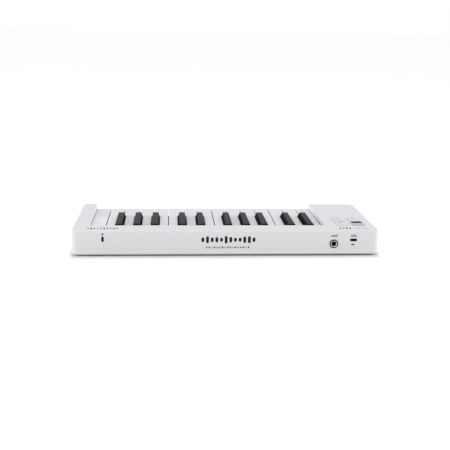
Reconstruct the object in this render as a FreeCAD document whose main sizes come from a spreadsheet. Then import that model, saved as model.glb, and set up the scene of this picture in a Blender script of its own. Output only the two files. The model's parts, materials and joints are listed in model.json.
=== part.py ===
import FreeCAD, Part
import math
import os
import re
import Sketcher
from FreeCAD import Placement, Rotation, Vector

# A slim 25-key controller keyboard.  Millimetres.  The origin is under the middle of the case, on the surface
# that the feet stand on.  +X runs from the low keys to the high ones, +Y from the player to the rear, +Z up.

doc = FreeCAD.newDocument("midi_keyboard")

# ---------------------------------------------------------------------------------------------- sizes
SIZES = (
    # case
    ("case_width", 390.0, "top shell, left to right"),
    ("case_depth", 150.0, "top shell, front to rear"),
    ("case_height", 32.6, "top of the panel above the surface it stands on"),
    ("parting_height", 8.4, "where the two shells meet"),
    ("corner_radius", 7.0, "upright corners of the case"),
    ("wall", 2.2, "outer walls"),
    ("inner_wall", 1.8, "walls beside the key opening"),
    ("panel_thickness", 2.5, "top panel"),
    ("floor_thickness", 2.5, "bottom shell"),
    ("base_flare", 0.6, "how far the bottom shell stands out all round"),
    ("top_round", 1.0, "rounding of the outer top edge"),
    ("opening_round", 0.4, "rounding of the key opening's top edge"),
    ("base_bevel", 1.2, "bevel round the underside"),
    ("left_panel", 64.8, "control panel left of the keys"),
    ("strip_depth", 29.2, "panel strip behind the keys"),
    ("lip_thickness", 2.2, "front lip of that strip"),
    ("rail_height", 15.0, "top of the rail in front of the keys"),
    ("rail_thickness", 2.0, "that rail"),
    ("foot_radius", 6.5, "rubber foot"),
    ("foot_height", 2.0, "how far the feet stand out"),
    ("foot_sink", 0.6, "pocket that holds a foot"),
    ("foot_inset_side", 23.0, "foot centre from the case's side"),
    ("foot_inset_end", 15.0, "foot centre from the case's front or rear"),
    # keys
    ("white_pitch", 20.45, "white key to white key"),
    ("key_gap", 1.0, "slit between two white keys"),
    ("white_drop", 6.4, "white key's top below the panel"),
    ("white_inset", 2.8, "white key's front behind the case's front"),
    ("key_clearance", 6.5, "under the key skirts, above the frame plate"),
    ("key_top", 2.0, "key's top wall"),
    ("key_skirt", 1.5, "key's side walls"),
    ("key_round", 0.5, "rounding of a white key's top edges"),
    ("black_round", 0.8, "rounding of a black key's top edges"),
    ("black_rise", 7.2, "black key's top above the white keys"),
    ("black_length", 75.5, "black key at its foot"),
    ("black_slope", 9.1, "how far its front slopes back"),
    ("narrow_slot", "=4 * white_pitch / 7", "a key's share of the width behind F to B"),
    ("black_side_gap", 0.74, "each side of a black key's foot to its slot's edge"),
    ("black_rear_lean", 0.5, "how far each side leans in, at the rear of its top"),
    ("black_front_lean", 1.1, "how far each side leans in, at the front of its top"),
    ("black_base", "=narrow_slot - 2 * black_side_gap", "black key's width at its foot"),
    ("black_rear", "=black_base - 2 * black_rear_lean", "its top's width at the rear"),
    ("black_front", "=black_base - 2 * black_front_lean", "its top's width at the front"),
    ("black_gap", 1.0, "black key to strip and to the white key's notch"),
    ("headroom", 1.4, "lip above the white keys"),
    ("tail_drop", 3.6, "underside of the tail below the pivot"),
    ("tail_reach", 6.8, "tail behind the pivot"),
    ("tail_start", 4.2, "where the tail starts, behind the strip's front edge"),
    ("hollow_setback", 9.8, "end of a key's hollow, in front of the strip's front edge"),
    ("pivot_inset", 15.0, "pivot in front of the case's rear"),
    ("pivot_drop", 6.2, "pivot below the white keys' top"),
    ("rod_radius", 1.5, "pivot rod"),
    ("rod_clearance", 0.05, "key bore round the rod"),
    ("ear_width", 2.0, "frame's ear"),
    ("ear_gap", 0.84, "each side of a key's tail to the frame's ear"),
    ("tail_width", "=narrow_slot - ear_width - 2 * ear_gap", "key's tail between the frame's ears"),
    ("ear_reach", 4.5, "ear in front of and behind the pivot"),
    ("ear_rise", 4.0, "ear above the pivot"),
    # key bed
    ("plate_thickness", 1.5, "key frame's plate"),
    ("plate_inset", 7.0, "plate's front edge behind the case's front"),
    ("post_width", 4.4, "guide post under a white key"),
    ("post_length", 7.0, "guide post, front to rear"),
    ("post_inset", 15.0, "guide post's middle behind the case's front"),
    ("post_overlap", 4.0, "guide post above the key skirts' lower edge"),
    ("guide_clearance", 0.4, "guide post to key"),
    ("guide_rib", 1.2, "rib beside a guide post"),
    ("black_post_setback", 14.0, "black key's guide post behind the key's front"),
    ("felt_thickness", 1.0, "upper key stop"),
    ("white_stop", 0.9, "felt under the white keys' fronts"),
    ("black_stop", 1.4, "felt under the black keys' fronts"),
    ("felt_width", 7.0, "felt under the black keys, front to rear"),
    ("felt_clearance", 0.2, "upper key stop to tail"),
    ("stop_wall", 3.8, "frame's wall under the upper key stop"),
    ("stop_start", 3.2, "that wall behind the pivot"),
    ("spring_inset", 33.0, "return spring in front of the case's rear"),
    ("spring_radius", 1.9, "return spring, to the wire's middle"),
    ("spring_wire", 0.25, "return spring's wire, radius"),
    ("spring_turns", 5.0, "return spring"),
    ("spring_fit", 0.15, "return spring to its two seats"),
    ("spigot_radius", 1.2, "peg inside a return spring"),
    ("spigot_length", 2.0, "peg inside a return spring"),
    ("contact_setback", 60.0, "contacts in front of the pivot"),
    ("contact_board_depth", 26.0, "contact board, front to rear"),
    ("board_thickness", 1.6, "every circuit board"),
    ("web_thickness", 0.6, "contact strip between its domes"),
    ("web_width", 14.0, "contact strip, front to rear"),
    ("dome_radius", 3.2, "contact dome"),
    ("dome_height", 3.0, "contact dome above the strip's web"),
    ("actuator_width", 5.0, "key's rib over its dome"),
    ("actuator_clearance", 0.3, "that rib above its dome"),
    # fixings
    ("boss_radius", 2.6, "screw boss"),
    ("pilot_radius", 1.25, "screw hole in a boss"),
    ("pass_radius", 1.45, "screw hole in the floor"),
    ("sink_radius", 2.4, "pocket for a screw's head"),
    ("sink_depth", 1.7, "pocket for a screw's head"),
    ("head_radius", 2.2, "screw head"),
    ("head_height", 1.2, "screw head"),
    ("screw_radius", 1.2, "screw's thread"),
    ("case_screw_length", 12.0, "case screw under its head"),
    ("frame_screw_length", 6.5, "frame screw under its head"),
    ("frame_boss_rise", 6.0, "frame's screw boss above its plate"),
    ("screw_inset", 9.0, "case screw from the case's edges"),
    ("small_screw", 0.95, "board screw's thread"),
    ("small_pilot", 1.0, "board screw's hole"),
    ("small_head", 1.8, "board screw's head"),
    ("small_head_height", 1.0, "board screw's head"),
    ("small_screw_length", 5.0, "board screw under its head"),
    ("small_boss", 2.2, "boss under a board"),
    ("board_edge", 3.0, "board screw from the board's edge"),
    # buttons and touch strips
    ("button_length", 19.5, "button, front to rear"),
    ("button_width", 15.5, "button, left to right"),
    ("button_corner", 2.0, "button's corners"),
    ("button_inset", 12.0, "outer buttons from the case's left side"),
    ("button_column_gap", 6.0, "between the two columns"),
    ("button_rear", 26.5, "rear buttons from the case's rear"),
    ("button_row_gap", 2.6, "between the two rows"),
    ("button_clearance", 0.3, "button to its hole"),
    ("button_rise", 0.8, "button above the panel"),
    ("button_round", 0.5, "button's top edge"),
    ("flange_width", 0.8, "flange that keeps a button in"),
    ("flange_thickness", 1.2, "that flange"),
    ("flange_clearance", 0.1, "flange under the panel"),
    ("stem_radius", 2.5, "button's stem"),
    ("stem_length", 1.0, "button's stem"),
    ("touch_width", 9.5, "touch strip"),
    ("touch_depth", 1.2, "touch strip's thickness"),
    ("touch_clearance", 0.1, "touch strip in its recess"),
    ("touch_front", 13.0, "touch strips behind the case's front"),
    ("touch_gap", 13.0, "touch strips in front of the buttons"),
    ("touch_round", 0.3, "touch strip's top edge"),
    # sockets
    ("jack_inset", 6.6, "pedal socket left of the keys"),
    ("jack_height", 15.8, "pedal socket's middle"),
    ("jack_bore", 3.25, "pedal socket's bore, radius"),
    ("bushing_radius", 5.1, "pedal socket's ring"),
    ("bushing_fit", 0.2, "that ring in the rear wall"),
    ("bushing_proud", 0.4, "that ring outside the rear wall"),
    ("jack_body_width", 10.4, "pedal socket's body"),
    ("jack_body_height", 11.2, "pedal socket's body"),
    ("jack_body_length", 22.0, "pedal socket's body"),
    ("jack_back", 1.5, "its closed end"),
    ("usb_inset", 32.9, "data socket from the case's left side"),
    ("usb_height", 20.8, "data socket's middle"),
    ("usb_width", 8.94, "data socket's shell"),
    ("usb_rise", 3.26, "data socket's shell"),
    ("usb_skin", 0.3, "data socket's sheet metal"),
    ("usb_length", 7.4, "data socket's shell"),
    ("usb_sink", 0.3, "data socket behind the rear face"),
    ("usb_clearance", 0.25, "rear wall round the data socket"),
    ("tongue_width", 6.7, "data socket's contact tongue"),
    ("tongue_thickness", 0.7, "data socket's contact tongue"),
    ("lock_inset", 38.7, "lock slot from the case's right side"),
    ("lock_height", 22.2, "lock slot's middle"),
    ("lock_width", 3.0, "lock slot"),
    ("lock_length", 7.0, "lock slot, upright"),
    ("lock_corner", 0.9, "lock slot's corners"),
    ("lock_plate_width", 16.0, "steel plate behind the lock slot"),
    ("lock_plate_height", 14.0, "steel plate behind the lock slot"),
    ("lock_plate_thickness", 1.2, "steel plate behind the lock slot"),
    ("seat_gap", 0.1, "between pieces that are set against each other"),
    # boards behind the control panel
    ("main_board_width", 28.0, "main board"),
    ("main_board_depth", 70.0, "main board"),
    ("main_board_inset", 19.0, "main board from the case's left side"),
    ("panel_board_width", 51.0, "button board"),
    ("panel_board_depth", 60.0, "button board"),
    ("panel_board_inset", 7.0, "button board from the case's left side"),
    ("panel_board_rear", 15.5, "button board from the case's rear"),
    ("panel_board_drop", 5.5, "button board under the panel's underside"),
    ("membrane_thickness", 0.8, "button membrane"),
    ("membrane_edge", 8.0, "button membrane inside its board's edge"),
    ("button_dome", 3.6, "button dome, radius"),
    ("ribbon_width", 8.0, "flat cable"),
    ("ribbon_thickness", 0.3, "flat cable"),
    ("ribbon_socket_length", 5.0, "flat cable's socket"),
    ("ribbon_socket_height", 1.8, "flat cable's socket"),
)

sheet = doc.addObject("Spreadsheet::Sheet", "Sizes")
for row, (alias, number, note) in enumerate(SIZES, start=1):
    sheet.set(f"A{row}", alias)
    sheet.set(f"B{row}", str(number))
    sheet.set(f"C{row}", note)
    sheet.setAlias(f"B{row}", alias)
doc.recompute()

# ------------------------------------------------------------------------- places used by several pieces
LEFT = "(-case_width / 2)"
RIGHT = "(case_width / 2)"
FRONT = "(-case_depth / 2)"
REAR = "(case_depth / 2)"
KEYS_LEFT = f"({LEFT} + left_panel)"
KEYS_RIGHT = f"({KEYS_LEFT} + 15 * white_pitch)"
STRIP_EDGE = f"({REAR} - strip_depth)"
LIP_BACK = f"({STRIP_EDGE} + lip_thickness)"
INNER_REAR = f"({REAR} - wall)"
CEILING = "(case_height - panel_thickness)"
FLOOR = "(foot_height + floor_thickness)"
PLATE = f"({FLOOR} + plate_thickness)"
WHITE_TOP = "(case_height - white_drop)"
BLACK_TOP = f"({WHITE_TOP} + black_rise)"
KEY_BOTTOM = f"({PLATE} + key_clearance)"
KEY_CEILING = f"({WHITE_TOP} - key_top)"
KEY_FRONT = f"({FRONT} + white_inset)"
BLACK_BACK = f"({STRIP_EDGE} - black_gap)"
BLACK_FRONT = f"({BLACK_BACK} - black_length)"
NOTCH = f"({BLACK_FRONT} - black_gap)"
PIVOT_Y = f"({REAR} - pivot_inset)"
PIVOT_Z = f"({WHITE_TOP} - pivot_drop)"
TAIL_START = f"({STRIP_EDGE} + tail_start)"
TAIL_END = f"({PIVOT_Y} + tail_reach)"
TAIL_BOTTOM = f"({PIVOT_Z} - tail_drop)"
HOLLOW_END = f"({STRIP_EDGE} - hollow_setback)"
SPRING_Y = f"({REAR} - spring_inset)"
CONTACT_Y = f"({PIVOT_Y} - contact_setback)"
CONTACT_BOARD_TOP = f"({PLATE} + board_thickness)"
WEB_TOP = f"({CONTACT_BOARD_TOP} + web_thickness)"
DOME_TOP = f"({WEB_TOP} + dome_height)"
POST_Y = f"({FRONT} + post_inset)"
POST_TOP = f"({KEY_BOTTOM} + post_overlap)"
BLACK_POST_Y = f"({BLACK_FRONT} + black_post_setback)"
BOSS_Y = f"({INNER_REAR} - boss_radius - seat_gap)"
FRAME_SCREW_FRONT = f"({POST_Y} + 16)"
FRAME_SCREW_REAR = f"({HOLLOW_END} - 6)"
JACK_X = f"({KEYS_LEFT} - jack_inset)"
JACK_FACE = f"({INNER_REAR} - seat_gap)"
USB_X = f"({LEFT} + usb_inset)"
USB_FACE = f"({REAR} - usb_sink)"
LOCK_X = f"({RIGHT} - lock_inset)"
MAIN_TOP = "(usb_height - usb_rise / 2)"
MAIN_BOTTOM = f"({MAIN_TOP} - board_thickness)"
MAIN_LEFT = f"({LEFT} + main_board_inset)"
MAIN_RIGHT = f"({MAIN_LEFT} + main_board_width)"
MAIN_REAR = f"({INNER_REAR} - seat_gap)"
MAIN_FRONT = f"({MAIN_REAR} - main_board_depth)"
PANEL_BOARD_TOP = f"({CEILING} - panel_board_drop)"
PANEL_BOARD_BOTTOM = f"({PANEL_BOARD_TOP} - board_thickness)"
PANEL_BOARD_LEFT = f"({LEFT} + panel_board_inset)"
PANEL_BOARD_RIGHT = f"({PANEL_BOARD_LEFT} + panel_board_width)"
PANEL_BOARD_REAR = f"({REAR} - panel_board_rear)"
PANEL_BOARD_FRONT = f"({PANEL_BOARD_REAR} - panel_board_depth)"
JACK_BOARD_TOP = "(jack_height - jack_body_height / 2)"
JACK_BOARD_BOTTOM = f"({JACK_BOARD_TOP} - board_thickness)"
CABLE_Y = f"({CONTACT_Y} + contact_board_depth / 2 - ribbon_width / 2 - 0.8)"
RIBBON_Z = f"({CONTACT_BOARD_TOP} + ribbon_socket_height / 2)"

# ------------------------------------------------------------------------------------------- keyboard
# The black keys share each group of white keys evenly at the rear: C to E holds 5 slots, F to B holds 7.
GROUPS = ((0, 3, ("c", "cs", "d", "ds", "e")), (3, 4, ("f", "fs", "g", "gs", "a", "as", "b")))


def list_keys():
    """Every key from the lowest up: its note, whether it is black, and the places of its sides."""
    keys = []
    white = 0
    for octave in range(3):
        for start, whites, notes in GROUPS:
            for place, note in enumerate(notes):
                if octave == 2 and (start, place) != (0, 0):
                    continue
                origin = f"({KEYS_LEFT} + {7 * octave + start} * white_pitch)"
                slot = f"{whites} * white_pitch / {len(notes)}"
                key = {
                    "note": f"{note}{octave + 3}",
                    "black": note.endswith("s"),
                    "slot_left": f"({origin} + {place} * {slot})",
                    "slot_right": f"({origin} + {place + 1} * {slot})",
                    "slot_middle": f"({origin} + {place + 0.5} * {slot})",
                }
                if not key["black"]:
                    key["left"] = f"({KEYS_LEFT} + {white} * white_pitch + key_gap / 2)"
                    key["right"] = f"({KEYS_LEFT} + {white + 1} * white_pitch - key_gap / 2)"
                    key["middle"] = f"({KEYS_LEFT} + {white + 0.5} * white_pitch)"
                    key["notch_left"] = place > 0
                    key["notch_right"] = place < len(notes) - 1 and octave < 2
                    white += 1
                keys.append(key)
    return keys


KEYS = list_keys()
WHITES = [key for key in KEYS if not key["black"]]
BLACKS = [key for key in KEYS if key["black"]]

# --------------------------------------------------------------------------------------------- helpers
WORD = re.compile(r"[a-z][a-z_]+")
finished = []


def sized(text):
    """An expression with each size's name turned into a reference to its cell."""
    return WORD.sub(lambda word: "Sizes." + word.group(0), str(text))


def value(text):
    return float(sheet.evalExpression(sized(text)))


def bind(thing, prop, text):
    thing.setExpression(prop, sized(text))


def keep(thing, label):
    """Marks an object as a finished sub-part under its own name."""
    thing.Label = label
    finished.append(thing)
    return thing


def new_body(label):
    return keep(doc.addObject("PartDesign::Body", label), label)


def sketch_on(body, plane, offset):
    """A sketch on one of the body's own planes, moved along its normal (+Z, -Y or +X)."""
    sketch = body.newObject("Sketcher::SketchObject", "outline")
    support = [feature for feature in body.Origin.OriginFeatures if feature.Role == plane][0]
    sketch.AttachmentSupport = (support, [""])
    sketch.MapMode = "FlatFace"
    bind(sketch, "AttachmentOffset.Base.z", offset)
    return sketch


def hold(sketch, kind, items, text):
    """A driving constraint whose value follows an expression."""
    index = sketch.addConstraint(Sketcher.Constraint(kind, *items, value(text)))
    bind(sketch, f"Constraints[{index}]", text)


def add_polygon(sketch, corners):
    """A closed outline through corners, each a pair of expressions."""
    points = [Vector(value(across), value(along), 0) for across, along in corners]
    first = sketch.GeometryCount
    count = len(points)
    for index, point in enumerate(points):
        sketch.addGeometry(Part.LineSegment(point, points[(index + 1) % count]), False)
    for index, (across, along) in enumerate(corners):
        line = first + index
        sketch.addConstraint(Sketcher.Constraint("Coincident", line, 2, first + (index + 1) % count, 1))
        hold(sketch, "DistanceX", (-1, 1, line, 1), across)
        hold(sketch, "DistanceY", (-1, 1, line, 1), along)


def add_box(sketch, left, right, low, high):
    add_polygon(sketch, ((left, low), (right, low), (right, high), (left, high)))


def add_round_box(sketch, left, right, low, high, radius):
    """A rectangle whose corners are tangent arcs of one radius."""
    x_low, x_high = value(left), value(right)
    y_low, y_high = value(low), value(high)
    turn = value(radius)
    corners = (
        (x_high - turn, y_low + turn, 270, x_high, y_low + turn, x_high, y_high - turn),
        (x_high - turn, y_high - turn, 0, x_high - turn, y_high, x_low + turn, y_high),
        (x_low + turn, y_high - turn, 90, x_low, y_high - turn, x_low, y_low + turn),
        (x_low + turn, y_low + turn, 180, x_low + turn, y_low, x_high - turn, y_low),
    )
    first = sketch.GeometryCount
    for x, y, start, from_x, from_y, to_x, to_y in corners:
        circle = Part.Circle(Vector(x, y, 0), Vector(0, 0, 1), turn)
        begin = math.radians(start)
        sketch.addGeometry(Part.ArcOfCircle(circle, begin, begin + math.pi / 2), False)
        sketch.addGeometry(Part.LineSegment(Vector(from_x, from_y, 0), Vector(to_x, to_y, 0)), False)
    for index in range(8):
        sketch.addConstraint(
            Sketcher.Constraint("Tangent", first + index, 2, first + (index + 1) % 8, 1)
        )
    for line, kind in ((1, "Vertical"), (3, "Horizontal"), (5, "Vertical"), (7, "Horizontal")):
        sketch.addConstraint(Sketcher.Constraint(kind, first + line))
    for arc in (2, 4, 6):
        sketch.addConstraint(Sketcher.Constraint("Equal", first, first + arc))
    hold(sketch, "Radius", (first,), radius)
    hold(sketch, "DistanceX", (-1, 1, first + 1, 1), right)
    hold(sketch, "DistanceY", (-1, 1, first + 3, 1), high)
    hold(sketch, "DistanceX", (-1, 1, first + 5, 1), left)
    hold(sketch, "DistanceY", (-1, 1, first + 7, 1), low)


def add_circle(sketch, across, along, radius):
    centre = Vector(value(across), value(along), 0)
    index = sketch.addGeometry(Part.Circle(centre, Vector(0, 0, 1), value(radius)), False)
    hold(sketch, "DistanceX", (-1, 1, index, 3), across)
    hold(sketch, "DistanceY", (-1, 1, index, 3), along)
    hold(sketch, "Radius", (index,), radius)


def pad(body, sketch, length, reverse=False, midplane=False):
    feature = body.newObject("PartDesign::Pad", "pad")
    feature.Profile = sketch
    bind(feature, "Length", length)
    feature.Reversed = reverse
    feature.Midplane = midplane
    return feature


def pocket(body, sketch, length, reverse=False, midplane=False):
    """Cuts length deep, against the sketch's normal unless it is reversed."""
    feature = body.newObject("PartDesign::Pocket", "pocket")
    feature.Profile = sketch
    bind(feature, "Length", length)
    feature.Reversed = reverse
    feature.Midplane = midplane
    cuts.append((feature, body))
    return feature


cuts = []


def edges_where(feature, test):
    doc.recompute()
    names = [f"Edge{index + 1}" for index, edge in enumerate(feature.Shape.Edges) if test(edge)]
    if not names:
        raise RuntimeError(f"no edge found on {feature.Label}")
    return names


def round_edges(body, feature, radius, test, kind="Fillet"):
    names = edges_where(feature, test)
    dress = body.newObject(f"PartDesign::{kind}", "dress")
    dress.Base = (feature, names)
    bind(dress, "Radius" if kind == "Fillet" else "Size", radius)
    return dress


def lies_at_height(edge, height):
    box = edge.BoundBox
    return abs(box.ZMin - height) < 1e-4 and abs(box.ZMax - height) < 1e-4


def block(left, right, front, rear, low, high):
    """A Part::Box between six expressions."""
    thing = doc.addObject("Part::Box", "block")
    bind(thing, "Placement.Base.x", left)
    bind(thing, "Placement.Base.y", front)
    bind(thing, "Placement.Base.z", low)
    bind(thing, "Length", f"({right}) - ({left})")
    bind(thing, "Width", f"({rear}) - ({front})")
    bind(thing, "Height", f"({high}) - ({low})")
    return thing


def post(x, y, low, high, radius):
    """An upright Part::Cylinder."""
    thing = doc.addObject("Part::Cylinder", "post")
    bind(thing, "Placement.Base.x", x)
    bind(thing, "Placement.Base.y", y)
    bind(thing, "Placement.Base.z", low)
    bind(thing, "Radius", radius)
    bind(thing, "Height", f"({high}) - ({low})")
    return thing


def posts_at(spots, low, high, radius):
    return [post(x, y, low, high, radius) for x, y in spots]


def cross_rod(left, right, y, z, radius):
    """A Part::Cylinder that runs from left to right."""
    thing = doc.addObject("Part::Cylinder", "rod")
    thing.Placement = Placement(Vector(0, 0, 0), Rotation(Vector(0, 1, 0), 90))
    bind(thing, "Placement.Base.x", left)
    bind(thing, "Placement.Base.y", y)
    bind(thing, "Placement.Base.z", z)
    bind(thing, "Radius", radius)
    bind(thing, "Height", f"({right}) - ({left})")
    return thing


def fuse(things):
    thing = doc.addObject("Part::MultiFuse", "joined")
    thing.Shapes = things
    thing.Refine = True
    return thing


def cut(base, tools):
    thing = doc.addObject("Part::Cut", "cut")
    thing.Base = base
    thing.Tool = tools[0] if len(tools) == 1 else fuse(tools)
    thing.Refine = True
    return thing


def group(label, things):
    """Identical loose pieces as one node of separate solids."""
    thing = doc.addObject("Part::Compound", label)
    thing.Links = things
    return keep(thing, label)


# ------------------------------------------------------------------------------------------- positions
CASE_SCREWS = (
    (f"({LEFT} + screw_inset)", f"({FRONT} + screw_inset)"),
    (f"({LEFT} + screw_inset)", f"({REAR} - screw_inset)"),
    (f"({RIGHT} - screw_inset)", f"({FRONT} + screw_inset)"),
    (f"({RIGHT} - screw_inset)", "0"),
    (f"({RIGHT} - screw_inset)", f"({REAR} - screw_inset)"),
    (f"({KEYS_LEFT} - inner_wall - boss_radius - 3)", f"({FRONT} + screw_inset)"),
    (f"({KEYS_LEFT} + 3 * white_pitch)", BOSS_Y),
    (f"({KEYS_LEFT} + 8 * white_pitch)", BOSS_Y),
    (f"({KEYS_LEFT} + 12 * white_pitch)", BOSS_Y),
)
FRAME_SCREWS = tuple(
    (WHITES[index]["slot_middle"], y)
    for index in (1, 5, 9, 13)
    for y in (FRAME_SCREW_FRONT, FRAME_SCREW_REAR)
)
FEET = tuple(
    (f"({side} {inward} foot_inset_side)", f"({end} {back} foot_inset_end)")
    for side, inward in ((LEFT, "+"), (RIGHT, "-"))
    for end, back in ((FRONT, "+"), (REAR, "-"))
)
MAIN_BOARD_SCREWS = tuple(
    (x, y)
    for x in (f"({MAIN_LEFT} + board_edge)", f"({MAIN_RIGHT} - board_edge)")
    for y in (f"({MAIN_FRONT} + board_edge + 14)", f"({MAIN_REAR} - board_edge - 10)")
)
PANEL_BOARD_SCREWS = tuple(
    (x, y)
    for x in (f"({PANEL_BOARD_LEFT} + board_edge)", f"({PANEL_BOARD_RIGHT} - board_edge)")
    for y in (f"({PANEL_BOARD_FRONT} + board_edge)", f"({PANEL_BOARD_REAR} - board_edge)")
)
JACK_BOARD_REAR = f"({JACK_FACE} - 1)"
JACK_BOARD_FRONT = f"({JACK_FACE} - jack_body_length - 6)"
JACK_BOARD_LEFT = f"({JACK_X} - jack_body_width / 2 - 4)"
JACK_BOARD_RIGHT = f"({KEYS_LEFT} - inner_wall - guide_clearance)"
JACK_BOARD_SCREWS = (
    (f"({JACK_BOARD_LEFT} + board_edge)", f"({JACK_BOARD_FRONT} + board_edge)"),
    (f"({JACK_BOARD_RIGHT} - board_edge)", f"({JACK_BOARD_FRONT} + board_edge)"),
)
CONTACT_BOARD_SCREWS = tuple(
    (f"({KEYS_LEFT} + {turns} * white_pitch)", f"({CONTACT_Y} + contact_board_depth / 2 - board_edge)")
    for turns in (1, 4, 7, 11, 14)
)
BUTTON_HALF = "button_width / 2"
OUTER_COLUMN = f"({LEFT} + button_inset + {BUTTON_HALF})"
INNER_COLUMN = f"({OUTER_COLUMN} + button_width + button_column_gap)"
REAR_ROW = f"({REAR} - button_rear - button_length / 2)"
FRONT_ROW = f"({REAR_ROW} - button_length - button_row_gap)"
BUTTONS = (
    ("shift_button", INNER_COLUMN, REAR_ROW),
    ("hold_button", OUTER_COLUMN, REAR_ROW),
    ("octave_down_button", OUTER_COLUMN, FRONT_ROW),
    ("octave_up_button", INNER_COLUMN, FRONT_ROW),
)
TOUCH_REAR = f"({FRONT_ROW} - button_length / 2 - touch_gap)"
TOUCH_FRONT = f"({FRONT} + touch_front)"
TOUCH_STRIPS = (("pitch_touch_strip", OUTER_COLUMN), ("mod_touch_strip", INNER_COLUMN))


# ------------------------------------------------------------------------------------------------ case
def cut_panel(body):
    """The holes for the buttons and the two shallow recesses for the touch strips."""
    holes = sketch_on(body, "XY_Plane", "case_height + 1")
    for _, x, y in BUTTONS:
        half = f"({BUTTON_HALF} + button_clearance)"
        reach = "(button_length / 2 + button_clearance)"
        add_round_box(
            holes, f"{x} - {half}", f"{x} + {half}", f"{y} - {reach}", f"{y} + {reach}",
            "button_corner + button_clearance",
        )
    pocket(body, holes, "panel_thickness + 2")
    recesses = sketch_on(body, "XY_Plane", "case_height")
    for _, x in TOUCH_STRIPS:
        half = "(touch_width / 2 + touch_clearance)"
        add_round_box(
            recesses, f"{x} - {half}", f"{x} + {half}",
            f"{TOUCH_FRONT} - touch_clearance", f"{TOUCH_REAR} + touch_clearance",
            "touch_width / 3 + touch_clearance",
        )
    pocket(body, recesses, "touch_depth")


def cut_rear_wall(body):
    """The pedal socket's hole, the data socket's opening and the lock slot."""
    sketch = sketch_on(body, "XZ_Plane", f"-{REAR} - 1")
    add_circle(sketch, JACK_X, "jack_height", "bushing_radius + bushing_fit")
    half = "(usb_width / 2 + usb_clearance)"
    rise = "(usb_rise / 2 + usb_clearance)"
    add_round_box(
        sketch, f"{USB_X} - {half}", f"{USB_X} + {half}", f"usb_height - {rise}", f"usb_height + {rise}",
        f"{rise} - 0.05",
    )
    add_round_box(
        sketch, f"{LOCK_X} - lock_width / 2", f"{LOCK_X} + lock_width / 2",
        "lock_height - lock_length / 2", "lock_height + lock_length / 2", "lock_corner",
    )
    pocket(body, sketch, "wall + 1.5", reverse=True)


def make_case_top():
    """The upper shell: control panel, right cheek and the strip behind the keys, open over the keys."""
    body = new_body("case_top")
    outline = sketch_on(body, "XY_Plane", "parting_height")
    add_round_box(outline, LEFT, RIGHT, FRONT, REAR, "corner_radius")
    solid = pad(body, outline, "case_height - parting_height")
    round_edges(body, solid, "top_round", lambda edge: lies_at_height(edge, value("case_height")))

    opening = sketch_on(body, "XY_Plane", "case_height + 1")
    add_box(opening, KEYS_LEFT, KEYS_RIGHT, f"{FRONT} - 1", STRIP_EDGE)
    cleared = pocket(body, opening, "case_height")
    inner = value(STRIP_EDGE)
    round_edges(
        body, cleared, "opening_round",
        lambda edge: lies_at_height(edge, value("case_height"))
        and edge.BoundBox.XMin > value(KEYS_LEFT) - 0.01
        and edge.BoundBox.XMax < value(KEYS_RIGHT) + 0.01
        and abs(edge.BoundBox.YMin - inner) < 0.01,
    )

    rooms = (
        (f"{LEFT} + wall", f"{KEYS_LEFT} - inner_wall", f"{FRONT} + wall", INNER_REAR),
        (f"{KEYS_RIGHT} + inner_wall", f"{RIGHT} - wall", f"{FRONT} + wall", INNER_REAR),
        (f"{LEFT} + wall", f"{RIGHT} - wall", LIP_BACK, INNER_REAR),
    )
    for left, right, low, high in rooms:
        room = sketch_on(body, "XY_Plane", "parting_height")
        add_round_box(room, left, right, low, high, "corner_radius - wall")
        pocket(body, room, f"{CEILING} - parting_height", reverse=True)
    under_lip = sketch_on(body, "XY_Plane", "parting_height")
    add_box(under_lip, KEYS_LEFT, KEYS_RIGHT, f"{STRIP_EDGE} - 1", f"{LIP_BACK} + 4")
    pocket(body, under_lip, f"{WHITE_TOP} + headroom - parting_height", reverse=True)

    bosses = sketch_on(body, "XY_Plane", f"{CEILING} + 0.5")
    for x, y in CASE_SCREWS:
        add_circle(bosses, x, y, "boss_radius")
    pad(body, bosses, f"{CEILING} + 0.5 - parting_height", reverse=True)
    pilots = sketch_on(body, "XY_Plane", "parting_height")
    for x, y in CASE_SCREWS:
        add_circle(pilots, x, y, "pilot_radius")
    pocket(body, pilots, "case_screw_length", reverse=True)
    board_bosses = sketch_on(body, "XY_Plane", f"{CEILING} + 0.5")
    for x, y in PANEL_BOARD_SCREWS:
        add_circle(board_bosses, x, y, "small_boss")
    pad(body, board_bosses, "panel_board_drop + 0.5", reverse=True)
    board_pilots = sketch_on(body, "XY_Plane", PANEL_BOARD_TOP)
    for x, y in PANEL_BOARD_SCREWS:
        add_circle(board_pilots, x, y, "small_pilot")
    pocket(body, board_pilots, "small_screw_length", reverse=True)

    cable_way = sketch_on(body, "XY_Plane", "parting_height")
    add_box(
        cable_way, f"{KEYS_LEFT} - inner_wall - 1", f"{KEYS_LEFT} + 1",
        f"{CABLE_Y} - ribbon_width / 2 - 2", f"{CABLE_Y} + ribbon_width / 2 + 2",
    )
    pocket(body, cable_way, "3.5", reverse=True)
    cut_panel(body)
    cut_rear_wall(body)


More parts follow.
